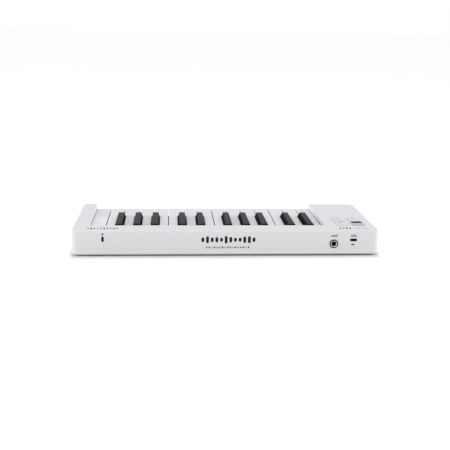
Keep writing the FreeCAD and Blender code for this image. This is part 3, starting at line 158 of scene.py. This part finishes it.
def moulded(name, color, shade, rough, grain, depth, gloss=0.5):
    """Moulded plastic: a fine sparked grain, a faint drift in shade and a drift in gloss."""
    shader = Shader(name)
    fine = shader.noise(grain, 2.0)
    drift = shader.noise(18.0, 4.0)
    tone = (drift * 0.7 + fine * 0.3).clamp()
    dark = tuple(channel * shade for channel in color) + (1.0,)
    shader.set(
        Base_Color=shader.blend(tone, dark, color + (1.0,)),
        Roughness=rough + 0.10 * (drift - 0.5) + 0.06 * (fine - 0.5),
        Normal=shader.bump(fine, depth),
        Specular_IOR_Level=gloss,
    )
    return shader.material


def metal(name, color, rough, grain, depth, stretch=(1.0, 1.0, 1.0)):
    """Plated or drawn metal: fine lines along one axis over a slow drift in gloss."""
    shader = Shader(name)
    lines = shader.add("ShaderNodeMapping", {}, {"Vector": shader.place(), "Scale": stretch})
    fine = shader.noise(grain, 2.0, vector=lines)
    drift = shader.noise(60.0, 3.0)
    dark = tuple(channel * 0.82 for channel in color) + (1.0,)
    shader.set(
        Base_Color=shader.blend(drift, dark, color + (1.0,)),
        Roughness=rough + 0.12 * (fine - 0.5),
        Normal=shader.bump(fine, depth),
        Metallic=1.0,
    )
    return shader.material


def circuit_board(name):
    """Green solder mask with the faint squares of its copper showing through, and a weave of glass fibre."""
    shader = Shader(name)
    place = shader.place()
    cells = shader.add(
        "ShaderNodeTexVoronoi", {"distance": "CHEBYCHEV"}, {"Vector": place, "Scale": 260.0}, "Distance"
    )
    tracks = shader.add(
        "ShaderNodeValToRGB",
        {"stops": ((0.30, (0.0, 0.0, 0.0, 1.0)), (0.36, (1.0, 1.0, 1.0, 1.0)))},
        {"Fac": cells},
    )
    weave = shader.noise(5000.0, 1.0, vector=place)
    shader.set(
        Base_Color=shader.blend(tracks, (0.015, 0.13, 0.05, 1.0), (0.03, 0.20, 0.08, 1.0)),
        Roughness=0.34 + 0.1 * (weave - 0.5),
        Normal=shader.bump(weave, 0.01 * MM),
    )
    return shader.material


def pressed_felt(name):
    """Dyed wool felt: tangled fibres in colour and height."""
    shader = Shader(name)
    fibres = shader.noise(2600.0, 6.0, 0.75)
    shader.set(
        Base_Color=shader.blend(fibres, (0.16, 0.02, 0.02, 1.0), (0.36, 0.06, 0.05, 1.0)),
        Roughness=0.9 + 0.1 * (fibres - 0.5),
        Normal=shader.bump(fibres, 0.12 * MM),
        Sheen_Weight=0.4,
    )
    return shader.material


def key_plastic(name, color):
    """Polished moulded plastic with painted light and shade: it falls off to a painted deep violet-grey shade down
    the narrow gaps between keys, and is painted a little paler behind the notches, a painted light where the black
    keys stand over it."""
    shader = Shader(name)
    place = shader.place()
    height = shader.axis(place, 2)
    back = shader.axis(place, 1)
    facing = shader.upward(3)
    # painted shade: below the key top the steep sides go to a deep violet grey, in full behind the notch and at
    # 0.30 between the front face and the notch
    depth = ((KEY_TOP - GAP_SHADE_START - height) * (1.0 / GAP_SHADE_DEPTH)).clamp()
    behind_notch = ((back - KEY_NOTCH) * 900.0).clamp()
    behind_front = ((back - KEY_FRONT_FACE) * 900.0).clamp() * 0.30 + behind_notch * 0.70
    steep = (1.0 - facing * 1.6).clamp()
    gap_painted_shade = depth * behind_front * steep
    drift = shader.noise(18.0, 4.0)
    fine = shader.noise(1500.0, 2.0)
    plain = shader.blend(drift, tuple(channel * 0.985 for channel in color) + (1.0,), color + (1.0,))
    # painted light: behind the notch the key's colour rises towards a paler copy of itself over a short reach
    painted_pale = tuple(channel * KEY_PAINTED_LIGHT for channel in color) + (1.0,)
    with_painted_light = shader.blend(((back - KEY_NOTCH) * (1.0 / KEY_PAINTED_LIGHT_REACH)).clamp(), plain, painted_pale)
    shader.set(
        Base_Color=shader.blend(gap_painted_shade, with_painted_light, (0.10, 0.085, 0.13, 1.0)),
        Roughness=0.30 + 0.10 * (drift - 0.5) + 0.04 * (fine - 0.5),
        Normal=shader.bump(fine, 0.003 * MM),
    )
    return shader.material


def case_shell(name, color):
    """Moulded shell with a fine spark grain; the opening's own walls are painted paler above the keys, a painted
    light, and fall off to a painted violet-grey shade below their level, where little light gets in."""
    shader = Shader(name)
    place = shader.place()
    x, y, z = (shader.axis(place, index) for index in range(3))
    from_middle = (x - 0.5 * (OPENING_LOW[0] + OPENING_HIGH[0])).math("ABSOLUTE")
    half = 0.5 * (OPENING_HIGH[0] - OPENING_LOW[0]) + 1.9 * MM
    inside = ((half - from_middle) * 4000.0).clamp() * ((y - KEY_FRONT_FACE) * 900.0).clamp()
    inside = inside * ((UNDER_STRIP_SHADE_Y + 6.0 * MM - y) * 2000.0).clamp()
    # painted shade: inside the opening, below the key top and above the case floor, the shell goes to a violet
    # grey
    depth = ((KEY_TOP - 0.2 * MM - z) * (1.0 / MM)).clamp()
    gap_painted_shade = inside * depth * ((z - 9.0 * MM) * 2000.0).clamp()
    facing = shader.upward(3)
    # painted light: the opening's walls above the key top are painted paler
    wall = inside * (1.0 - depth) * (1.0 - facing * 1.6).clamp()
    fine = shader.noise(2600.0, 2.0)
    drift = shader.noise(18.0, 4.0)
    tone = (drift * 0.7 + fine * 0.3).clamp()
    plain = shader.blend(tone, tuple(channel * 0.985 for channel in color) + (1.0,), color + (1.0,))
    with_painted_light = shader.blend(wall, plain, tuple(channel * WALL_PAINTED_LIGHT for channel in color) + (1.0,))
    shader.set(
        Base_Color=shader.blend(gap_painted_shade, with_painted_light, (0.06, 0.045, 0.085, 1.0)),
        Roughness=0.55 + 0.10 * (drift - 0.5) + 0.06 * (fine - 0.5),
        Normal=shader.bump(fine, 0.010 * MM),
        Specular_IOR_Level=0.35,
    )
    return shader.material


def black_key_plastic(name):
    """Matt black plastic with a fine grain on the finger faces, which are painted lighter as a painted highlight,
    while the steep flanks and the end under the strip are painted near black, a painted shade and the strip's
    painted shadow."""
    shader = Shader(name)
    up = shader.upward(1)
    y = shader.axis(shader.place(), 1)
    # painted light and shade: faces that look up get the lighter top colour, steep flanks stay near black, and so
    # does the end past the line under the strip, a painted shadow
    level = ((up - 0.30) * 2.2).clamp() * (1.0 - ((y - UNDER_STRIP_SHADE_Y) * 1200.0).clamp())
    fine = shader.noise(3600.0, 2.0)
    drift = shader.noise(30.0, 3.0)
    top = shader.blend(drift * 0.5 + fine * 0.5, (0.019, 0.0145, 0.0155, 1.0), (0.027, 0.021, 0.022, 1.0))
    shader.set(
        Base_Color=shader.blend(level, (0.004, 0.004, 0.0045, 1.0), top),
        Roughness=0.92 - 0.40 * level + 0.08 * (fine - 0.5),
        Normal=shader.bump(fine, 0.014 * MM),
        Specular_IOR_Level=0.10,
    )
    return shader.material


def make_finishes():
    """One material for each slot of the record, and the two inks."""
    case = (0.570, 0.570, 0.584)
    button = (0.510, 0.540, 0.556)
    strip = (0.560, 0.561, 0.575)
    return {
        "case_plastic": case_shell("case_plastic", case),
        "white_key_plastic": key_plastic("white_key_plastic", (0.560, 0.550, 0.590)),
        "black_key_plastic": black_key_plastic("black_key_plastic"),
        "button_plastic": moulded("button_plastic", button, 0.97, 0.45, 3000.0, 0.006 * MM, 0.35),
        # painted light: the base is a copy of the case plastic painted 5 % paler, to lighten its downward-facing
        # faces
        "case_base_painted_lighter": case_shell("case_base_painted_lighter", tuple(1.05 * channel for channel in case)),
        "hold_plastic": moulded("hold_plastic", (0.36, 0.40, 0.425), 0.97, 0.45, 3000.0, 0.006 * MM, 0.35),
        "strip_plastic": moulded("strip_plastic", strip, 0.985, 0.42, 2400.0, 0.004 * MM, 0.4),
        "frame_plastic": moulded("frame_plastic", (0.050, 0.048, 0.055), 0.85, 0.55, 1800.0, 0.02 * MM),
        "foot_rubber": moulded("foot_rubber", (0.035, 0.035, 0.036), 0.80, 0.82, 2200.0, 0.03 * MM, 0.2),
        "silicone": moulded("silicone", (0.42, 0.42, 0.44), 0.92, 0.55, 1200.0, 0.01 * MM),
        "chip_epoxy": moulded("chip_epoxy", (0.020, 0.020, 0.021), 0.80, 0.50, 4200.0, 0.012 * MM),
        "black_plastic": moulded("black_plastic", (0.012, 0.012, 0.013), 0.80, 0.42, 3000.0, 0.006 * MM, 0.2),
        "cable_film": moulded("cable_film", (0.66, 0.66, 0.63), 0.95, 0.35, 900.0, 0.003 * MM),
        "board": circuit_board("circuit_board"),
        "felt": pressed_felt("pressed_felt"),
        "rod_steel": metal("ground_rod", (0.55, 0.56, 0.58), 0.22, 3000.0, 0.004 * MM, (0.05, 1.0, 1.0)),
        "spring_steel": metal("spring_wire", (0.50, 0.50, 0.52), 0.28, 4000.0, 0.003 * MM),
        "plate_steel": metal("plated_sheet", (0.52, 0.52, 0.54), 0.36, 2500.0, 0.006 * MM, (1.0, 1.0, 0.08)),
        "screw_steel": metal("screw_steel", (0.38, 0.38, 0.40), 0.34, 3200.0, 0.008 * MM),
        "socket_steel": metal("socket_steel", (0.045, 0.045, 0.048), 0.42, 3000.0, 0.004 * MM),
        "bushing_metal": metal("bushing_metal", (0.80, 0.77, 0.73), 0.20, 2600.0, 0.003 * MM),
        "ink": moulded("ink", (0.010, 0.010, 0.012), 0.80, 0.60, 3000.0, 0.003 * MM, 0.2),
        "grey_ink": moulded("grey_ink", (0.16, 0.16, 0.175), 0.90, 0.60, 3000.0, 0.003 * MM, 0.2),
    }


KEY_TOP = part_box("white_key_c3")[1][2]
KEY_FRONT_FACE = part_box("white_key_c3")[0][1] + 0.6 * MM
KEY_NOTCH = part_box("black_key_cs3")[0][1] - 1.0 * MM
OPENING_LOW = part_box("white_key_c3")[0]
OPENING_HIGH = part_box("white_key_c5")[1]
# the line along Y where the painted shadow under the strip begins on the black keys
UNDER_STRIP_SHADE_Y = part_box("pivot_rod")[0][1] - 18.2 * MM
# where the painted gap shade starts below the key top and how deep it reaches; how much paler the painted light
# makes the keys and the inner walls, and over what reach
GAP_SHADE_START = 0.9 * MM
GAP_SHADE_DEPTH = 2.2 * MM
KEY_PAINTED_LIGHT = 1.16
KEY_PAINTED_LIGHT_REACH = 16.0 * MM
WALL_PAINTED_LIGHT = 1.28

finishes = make_finishes()
slot_of = {part["node"]: part["material_slot"] for part in frame["record"]["subparts"]}
body_of = {node: body for body, members in frame["record"]["behaviour"]["bodies"].items() for node in members}

for name, node in nodes.items():
    node.data.materials.clear()
    node.data.materials.append(finishes[slot_of[name]])


# ------------------------------------------------------------------------------------------ pieces
def new_piece(name, mesh, finish, body="case"):
    """An object at the origin for a mesh in the object's own place, riding on a body."""
    mesh.materials.clear()
    mesh.materials.append(finishes[finish])
    piece = bpy.data.objects.new(name, mesh)
    bpy.context.scene.collection.objects.link(piece)
    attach(piece, body)
    return piece


def array_mesh(name, points, faces, sharp=40.0):
    """A smooth-shaded mesh from an array of points (metres) and a list of faces, sharp past an angle."""
    mesh = bpy.data.meshes.new(name)
    mesh.from_pydata(points.tolist(), [], faces)
    mesh.polygons.foreach_set("use_smooth", np.ones(len(mesh.polygons), dtype=bool))
    mesh.set_sharp_from_angle(angle=math.radians(sharp))
    mesh.update()
    return mesh


def bevel(piece, width, segments=2, angle=35.0):
    """A narrow round on every edge sharper than the angle."""
    rounding = piece.modifiers.new("soft_edges", "BEVEL")
    rounding.width = width
    rounding.segments = segments
    rounding.limit_method = "ANGLE"
    rounding.angle_limit = math.radians(angle)
    rounding.harden_normals = True
    rounding.use_clamp_overlap = True


def soften(node, width, reshape=None):
    """A copy of a node's surface, its doubled points merged and its flat faces joined, with its moulded
    edges broken by a narrow round; it stands for the node."""
    mesh = nodes[node].data.copy()
    work = bmesh.new()
    work.from_mesh(mesh)
    bmesh.ops.remove_doubles(work, verts=work.verts, dist=0.001 * MM)
    bmesh.ops.dissolve_limit(work, angle_limit=math.radians(0.3), verts=work.verts, edges=work.edges)
    work.to_mesh(mesh)
    work.free()
    if reshape:
        places = np.empty(3 * len(mesh.vertices))
        mesh.vertices.foreach_get("co", places)
        mesh.vertices.foreach_set("co", reshape(places.reshape(-1, 3)).ravel())
        mesh.update()
    mesh.polygons.foreach_set("use_smooth", np.ones(len(mesh.polygons), dtype=bool))
    mesh.set_sharp_from_angle(angle=math.radians(35.0))
    finish = own_finish.get(node, slot_of[node])
    piece = new_piece(node + "_shell", mesh, finish, body_of[node])
    if width:
        bevel(piece, width)
    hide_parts(node)
    return piece


nodes["case_bottom"].data.materials[0] = finishes["case_base_painted_lighter"]
nodes["hold_button"].data.materials[0] = finishes["hold_plastic"]
own_finish = {"case_bottom": "case_base_painted_lighter", "hold_button": "hold_plastic"}

SOFT_EDGES = {
    "case_top": 0.25, "case_bottom": 0.3, "feet": 0.3, "keybed_frame": 0.2, "pitch_touch_strip": 0.0,
    "mod_touch_strip": 0.0, "pedal_jack_body": 0.2, "pedal_jack_bushing": 0.15, "usb_socket_shell": 0.08,
    "usb_socket_tongue": 0.08, "lock_plate": 0.15, "case_screws": 0.06, "contact_strip": 0.1,
}


def slim_black_key(places):
    """Draws a black key's outer walls and crown in towards its middle by a fixed share of their distance
    from it. The tail, behind BLACK_TAIL, stays as it is."""
    middle = 0.5 * (places[:, 0].min() + places[:, 0].max())
    off = places[:, 0] - middle
    outer = (np.abs(off) > BLACK_WALL_INSIDE) | (places[:, 2] > KEY_TOP + 0.1 * MM)
    front_part = places[:, 1] < BLACK_TAIL
    slim = places.copy()
    slim[:, 0] = np.where(outer & front_part, middle + off * BLACK_SLIM, places[:, 0])
    return slim


BLACK_SLIM = 0.935
BLACK_WALL_INSIDE = 3.95 * MM
BLACK_TAIL = 52.0 * MM

for name in nodes:
    if name.startswith("white_key"):
        soften(name, 0.30 * MM)
    elif name.startswith("black_key"):
        soften(name, 0.12 * MM, slim_black_key)
    elif name.endswith("_button"):
        soften(name, 0.15 * MM)
    elif name in SOFT_EDGES:
        soften(name, SOFT_EDGES[name] * MM)


def box_size(node):
    low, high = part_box(node)
    return np.array(low), np.array(high)


def loft_faces(rows, count, caps=True):
    """Faces between rows of equal count, each row joined to the next, with a flat face at each end."""
    index = np.arange(rows * count).reshape(rows, count)
    here, ahead = index[:-1], index[1:]
    quads = np.stack([here, np.roll(here, -1, 1), np.roll(ahead, -1, 1), ahead], axis=-1)
    faces = quads.reshape(-1, 4).tolist()
    if caps:
        faces += [index[0][::-1].tolist(), index[-1].tolist()]
    return faces


# ------------------------------------------------------------------------------------ printed marks
REAR_WALL = box_size("case_top")[1][1]
TOP_PANEL = box_size("case_top")[1][2]
INK_RISE = 0.03 * MM
CORNER_STEPS = 4


def printed(name, bars, facing, finish, body="case"):
    """A print made of rounded bars. Each bar is a row: middle u, middle v, half width, half height, corner
    radius and turn in degrees. Its outline is four quarter circles of the corner radius; it is lofted
    from the surface to the ink's rise. On the rear wall u runs against X and v is Z; on top u is X and
    v is Y."""
    bars = np.array(bars, dtype=float)
    u, v, half_u, half_v, radius, turn = (bars[:, column, None] for column in range(6))
    arc = np.linspace(0.0, 0.5 * np.pi, CORNER_STEPS)
    angle = (np.arange(4)[:, None] * 0.5 * np.pi + arc[None, :]).ravel()[None, :]
    toward_u = np.repeat(np.array([1.0, -1.0, -1.0, 1.0]), CORNER_STEPS)[None, :]
    toward_v = np.repeat(np.array([1.0, 1.0, -1.0, -1.0]), CORNER_STEPS)[None, :]
    radius = np.minimum(radius, 0.98 * np.minimum(half_u, half_v))
    flat_u = toward_u * (half_u - radius) + radius * np.cos(angle)
    flat_v = toward_v * (half_v - radius) + radius * np.sin(angle)
    lean = np.radians(turn)
    ring_u = (u + flat_u * np.cos(lean) - flat_v * np.sin(lean)) * MM
    ring_v = (v + flat_u * np.sin(lean) + flat_v * np.cos(lean)) * MM
    level = facing["level"]
    pair = np.array([level - 0.02 * MM, level + INK_RISE])
    count = ring_u.shape[1]
    rise = np.broadcast_to(pair[None, :, None], (len(bars), 2, count))
    across = np.broadcast_to(ring_u[:, None, :], rise.shape)
    up = np.broadcast_to(ring_v[:, None, :], rise.shape)
    points = np.stack([across, up, rise], axis=-1).reshape(-1, 3) @ facing["axes"]
    one = loft_faces(2, count)
    faces = [[corner + 2 * count * bar for corner in face] for bar in range(len(bars)) for face in one]
    return new_piece(name, array_mesh(name, points, faces), finish, body)


# rows: where u, v and the rise point
REAR_FACE = {"axes": np.array([[-1.0, 0.0, 0.0], [0.0, 0.0, 1.0], [0.0, 1.0, 0.0]]), "level": REAR_WALL}
TOP_FACE = {"axes": np.eye(3), "level": TOP_PANEL}


def level_meter(middle_u, middle_v, width, height, count, thickness, low=0.35):
    """Upright rounded bars side by side whose heights follow a slow swell: a share of the full height that
    is a constant plus the size of two sines."""
    place = np.linspace(-0.5, 0.5, count)
    swell = np.abs(0.62 * np.cos(place * 9.0) + 0.38 * np.cos(place * 23.0 + 0.8))
    tall = height * (low + (1.0 - low) * swell / swell.max())
    rows = np.zeros((count, 6))
    rows[:, 0] = middle_u + place * (width - thickness)
    rows[:, 1] = middle_v
    rows[:, 2] = 0.5 * thickness
    rows[:, 3] = 0.5 * tall
    rows[:, 4] = 0.5 * thickness
    return rows


def dashes(left_u, right_u, middle_v, height, count, fill, wobble=0.0):
    """A row of rounded dashes at an even pitch; each is a share of the pitch long, a little more or less
    by a sine."""
    pitch = (right_u - left_u) / count
    step = np.arange(count)
    rows = np.zeros((count, 6))
    rows[:, 0] = left_u + pitch * (step + 0.5)
    rows[:, 1] = middle_v
    rows[:, 2] = 0.5 * pitch * (fill + wobble * np.sin(step * 2.4))
    rows[:, 3] = 0.5 * height
    rows[:, 4] = 0.5 * height
    return rows


# the rear wall's bars and dotted line
printed("rear_meter_print", level_meter(1.5, 21.4, 68.5, 9.8, 12, 3.6, 0.50), REAR_FACE, "ink")
printed("rear_dash_print", dashes(-27.6, 29.0, 11.4, 2.3, 17, 0.46, 0.20), REAR_FACE, "ink")
# a pedal over the round socket, a port over the data socket, a plug under it, a padlock over the slot
JACK_X = 0.5 * (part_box("pedal_jack_bushing")[0][0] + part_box("pedal_jack_bushing")[1][0]) / MM
USB_X = 0.5 * (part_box("usb_socket_shell")[0][0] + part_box("usb_socket_shell")[1][0]) / MM
LOCK_X = 0.5 * (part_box("lock_plate")[0][0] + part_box("lock_plate")[1][0]) / MM
pedal_icon = [
    (-JACK_X, 25.5, 4.4, 0.30, 0.3, 0.0),
    (-JACK_X + 0.4, 26.9, 4.0, 0.42, 0.3, 9.0),
    (-JACK_X - 3.3, 26.0, 0.3, 0.7, 0.2, 0.0),
    (-JACK_X + 3.8, 26.6, 0.3, 1.1, 0.2, 0.0),
]
port_icon = [
    (-USB_X, 25.3, 3.6, 0.26, 0.2, 0.0),
    (-USB_X, 27.6, 3.6, 0.26, 0.2, 0.0),
    (-USB_X - 3.6, 26.45, 0.26, 1.2, 0.2, 0.0),
    (-USB_X + 3.6, 26.45, 0.26, 1.2, 0.2, 0.0),
    (-USB_X, 26.45, 2.0, 0.35, 0.3, 0.0),
]
plug_icon = [
    (-USB_X - 2.7, 14.8, 0.9, 0.28, 0.2, 0.0),
    (-USB_X - 0.6, 14.8, 1.3, 0.95, 0.4, 0.0),
    (-USB_X + 1.6, 15.25, 0.9, 0.22, 0.1, 0.0),
    (-USB_X + 1.6, 14.35, 0.9, 0.22, 0.1, 0.0),
]
padlock_icon = [
    (-LOCK_X, 28.3, 1.15, 0.85, 0.25, 0.0),
    (-LOCK_X - 0.7, 29.4, 0.2, 0.7, 0.15, 0.0),
    (-LOCK_X + 0.7, 29.4, 0.2, 0.7, 0.15, 0.0),
    (-LOCK_X, 30.0, 0.9, 0.22, 0.2, 0.0),
]
printed("socket_icons_print", pedal_icon + port_icon + plug_icon, REAR_FACE, "ink")
printed("padlock_icon_print", padlock_icon, REAR_FACE, "ink")
# the top strip's marks
printed("strip_meter_print", level_meter(157.2, 61.0, 38.5, 7.6, 10, 1.9, 0.42), TOP_FACE, "ink")
printed("panel_meter_print", level_meter(-153.8, 61.2, 14.5, 7.6, 4, 2.0, 0.5), TOP_FACE, "ink")
printed("panel_dash_print", dashes(-184.0, -163.0, 61.2, 3.6, 6, 0.42, 0.12), TOP_FACE, "grey_ink")


def on_button(node):
    low, high = box_size(node)
    return {"axes": np.eye(3), "level": high[2]}, (low + high) / 2.0 / MM


for name, shift in (("shift_button", -6.0), ("octave_up_button", -5.2), ("octave_down_button", -5.2)):
    face, middle = on_button(name)
    bars = [(middle[0], middle[1] + shift, 2.6, 0.75, 0.5, 0.0)]
    printed(name + "_print", bars, face, "grey_ink", name)
face, middle = on_button("hold_button")
printed("hold_button_print", [(middle[0], middle[1] - 5.2, 6.5, 4.2, 0.8, 0.0)], face, "ink", "hold_button")


# ---------------------------------------------------------------------------- painted shadow ring round the socket, and springs
def ring_of_revolution(name, middle, radii, heights, finish, sides=64):
    """A closed profile of radius against height turned about an axis along +Y through the middle."""
    turn = np.linspace(0.0, 2.0 * np.pi, sides, endpoint=False)
    radii, heights = np.array(radii)[:, None], np.array(heights)[:, None]
    x = middle[0] + radii * np.sin(turn)[None, :]
    z = middle[2] + radii * np.cos(turn)[None, :]
    y = np.broadcast_to(middle[1] + heights, x.shape)
    points = np.stack([x, y, z], axis=-1).reshape(-1, 3)
    rows = len(radii)
    index = np.arange(rows * sides).reshape(rows, sides)
    ahead = np.roll(index, -1, 0)
    quads = np.stack([index, np.roll(index, -1, 1), np.roll(ahead, -1, 1), ahead], axis=-1)
    mesh = array_mesh(name, points, quads.reshape(-1, 4).tolist(), 50.0)
    return new_piece(name, mesh, finish, "case")


low, high = box_size("pedal_jack_bushing")
jack_middle = np.array([(low[0] + high[0]) / 2, REAR_WALL, (low[2] + high[2]) / 2])
# painted shadow: a black ring round the bushing stands for the shade in the gap between the wall's hole and the
# bushing
ring_of_revolution(
    "pedal_jack_shadow_ring",
    jack_middle,
    np.array([4.0, 4.0, 4.2, 5.3, 5.6, 5.6]) * MM,
    np.array([0.2, 0.5, 0.62, 0.62, 0.4, -0.05]) * MM,
    "black_plastic",
)


SPRING_GAP = 3.0 * MM


def spring_middles():
    """The X of each spring: the springs' points sorted by X and parted at each gap wider than SPRING_GAP."""
    mesh = nodes["key_springs"].data
    places = np.empty(3 * len(mesh.vertices))
    mesh.vertices.foreach_get("co", places)
    across = np.unique(np.round(places[0::3], 6))
    parts = np.split(across, np.flatnonzero(np.diff(across) > SPRING_GAP) + 1)
    return np.array([0.5 * (part[0] + part[-1]) for part in parts])


def make_springs():
    """Coil springs, one under each key: a helix whose rise is slow at both ends, so that the end turns lie flat,
    with a round wire carried along it on the helix's own radial and axial directions. The fall of each key's seat,
    the distance from the hinge times the sine of the key's travel, is worked out, but no spring is shortened by
    it."""
    low, high = box_size("key_springs")
    wire = 0.25 * MM
    coil = 0.5 * (high[1] - low[1]) - wire
    middle_y = 0.5 * (low[1] + high[1])
    turns, steps, sides = 6.5, 15, 7
    along = np.linspace(0.0, 1.0, int(turns * steps))
    turn = 2.0 * np.pi * turns * along
    ends = 1.1 / turns
    ease = np.clip((along - ends * 0.5) / (1.0 - ends), 0.0, 1.0)
    height = low[2] + wire + (high[2] - low[2] - 2.0 * wire) * ease
    radial = np.stack([np.cos(turn), np.sin(turn), np.zeros_like(turn)], axis=1)
    path = coil * radial
    path[:, 2] = height
    tangent = np.gradient(path, axis=0)
    tangent /= np.linalg.norm(tangent, axis=1, keepdims=True)
    axial = np.cross(tangent, radial)
    around = np.linspace(0.0, 2.0 * np.pi, sides, endpoint=False)
    outward = np.cos(around)[None, :, None] * radial[:, None, :]
    upward = np.sin(around)[None, :, None] * axial[:, None, :]
    points = (path[:, None, :] + wire * (outward + upward)).reshape(-1, 3)
    faces = loft_faces(len(along), sides)
    hinges = [joint for joint in frame["joints"] if joint["type"] == "hinge"]
    for middle_x, hinge in zip(spring_middles(), hinges, strict=True):
        name = hinge["child"] + "_spring"
        mesh = array_mesh(name, points + (middle_x, middle_y, 0.0), faces)
        piece = new_piece(name, mesh, "spring_steel", "case")
        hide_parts("key_springs")
        fall = (hinge["pos_m"][1] - middle_y) * math.sin(math.radians(hinge["range_deg"][1]))
        1.0 - fall / (high[2] - low[2])
        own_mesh(piece)


make_springs()


# ------------------------------------------------------------------------------- floor, light, camera
def make_floor():
    """A wide pale floor with painted light and shade: paler far out and a little deeper in tone near the object,
    and darkest in a painted contact shadow all round its foot: the painted shadow falls off as exp(-q) of the
    distance q from the footprint, scaled along X and Y."""
    shader = Shader("pale_floor")
    drift = shader.noise(3.0, 2.0)
    place = shader.place()
    across = shader.axis(place, 0).math("ABSOLUTE")
    along = shader.axis(place, 1).math("ABSOLUTE")
    # painted contact shadow: darkest at the footprint's edge, fading outward faster along X than along Y
    out_x = (across - FOOTPRINT[0]).math("MAXIMUM", 0.0) * (1.0 / CONTACT_SHADOW_REACH[0])
    out_y = (along - FOOTPRINT[1]).math("MAXIMUM", 0.0) * (1.0 / CONTACT_SHADOW_REACH[1])
    reach = (out_x * out_x + out_y * out_y).math("SQRT")
    contact_shadow = (0.0 - reach * reach).math("EXPONENT") * CONTACT_SHADOW_DEPTH
    # painted light: the floor is painted paler far from the object and a little darker near it
    far = ((across * across + along * along).math("SQRT") * 0.6 - 0.3).clamp()
    painted_pale = shader.blend(far, (0.90, 0.90, 0.905, 1.0), (0.985, 0.985, 0.985, 1.0))
    shader.set(
        Base_Color=shader.blend(contact_shadow + 0.01 * drift, painted_pale, (0.0, 0.0, 0.0, 1.0)),
        Roughness=0.9 + 0.05 * drift,
        Specular_IOR_Level=0.0,
    )
    mesh = bpy.data.meshes.new("floor")
    corners = [(x * FLOOR_HALF, y * FLOOR_HALF, 0.0) for x, y in ((-1, -1), (1, -1), (1, 1), (-1, 1))]
    mesh.from_pydata(corners, [], [(0, 1, 2, 3)])
    mesh.materials.append(shader.material)
    floor = bpy.data.objects.new("floor", mesh)
    bpy.context.scene.collection.objects.link(floor)


FOOTPRINT = (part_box("case_bottom")[1][0] - 3.0 * MM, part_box("case_bottom")[1][1] - 2.0 * MM)
CONTACT_SHADOW_REACH = (5.0 * MM, 13.0 * MM)
CONTACT_SHADOW_DEPTH = 0.32
FLOOR_HALF = 60.0


def add_area_light(name, place, size, power):
    """A round softbox that faces the middle of the object's foot."""
    lamp = bpy.data.lights.new(name, "AREA")
    lamp.shape = "DISK"
    lamp.size = size
    lamp.energy = power
    light = bpy.data.objects.new(name, lamp)
    light.location = place
    light.rotation_euler = (-Vector(place)).to_track_quat("-Z", "Y").to_euler()
    bpy.context.scene.collection.objects.link(light)


def make_light():
    """A white room, a softbox at each side and a weaker one behind the object."""
    world = bpy.data.worlds.new("room")
    world.use_nodes = True
    background = world.node_tree.nodes["Background"]
    background.inputs["Color"].default_value = (1.0, 1.0, 1.0, 1.0)
    background.inputs["Strength"].default_value = ROOM_LIGHT
    bpy.context.scene.world = world
    add_area_light("left_softbox", (-2.0, 0.3, 0.75), LAMP_SIZE, SIDE_LIGHT)
    add_area_light("right_softbox", (2.0, 0.3, 0.75), LAMP_SIZE, SIDE_LIGHT)
    add_area_light("rear_fill", (0.3, 2.2, 0.9), LAMP_SIZE, FILL_LIGHT)


ROOM_LIGHT = 1.0
SIDE_LIGHT = 19.0
FILL_LIGHT = 5.0
LAMP_SIZE = 1.2
CAMERA_PLACE = (0.07157, 0.97912, 0.27991)
CAMERA_YAW = -0.07538
CAMERA_PITCH = 0.25796
CAMERA_ROLL = 0.01876
LENS = 59.674


def make_camera():
    """Looks from behind and above: yaw about Z from -Y, pitch down, then roll about the line of sight."""
    camera = bpy.data.cameras.new("camera")
    camera.lens = LENS
    camera.sensor_width = 36.0
    camera.clip_start = 0.01
    camera.clip_end = 50.0
    sight = Vector(
        (
            math.sin(CAMERA_YAW) * math.cos(CAMERA_PITCH),
            -math.cos(CAMERA_YAW) * math.cos(CAMERA_PITCH),
            -math.sin(CAMERA_PITCH),
        )
    )
    level = sight.cross(Vector((0.0, 0.0, 1.0))).normalized()
    upright = level.cross(sight)
    across = level * math.cos(CAMERA_ROLL) + upright * math.sin(CAMERA_ROLL)
    upward = upright * math.cos(CAMERA_ROLL) - level * math.sin(CAMERA_ROLL)
    turn = Matrix((across, upward, -sight)).transposed().to_4x4()
    holder = bpy.data.objects.new("camera", camera)
    holder.matrix_world = Matrix.Translation(CAMERA_PLACE) @ turn
    bpy.context.scene.collection.objects.link(holder)
    bpy.context.scene.camera = holder


make_floor()
make_light()
make_camera()
bpy.context.scene.view_settings.view_transform = "Standard"
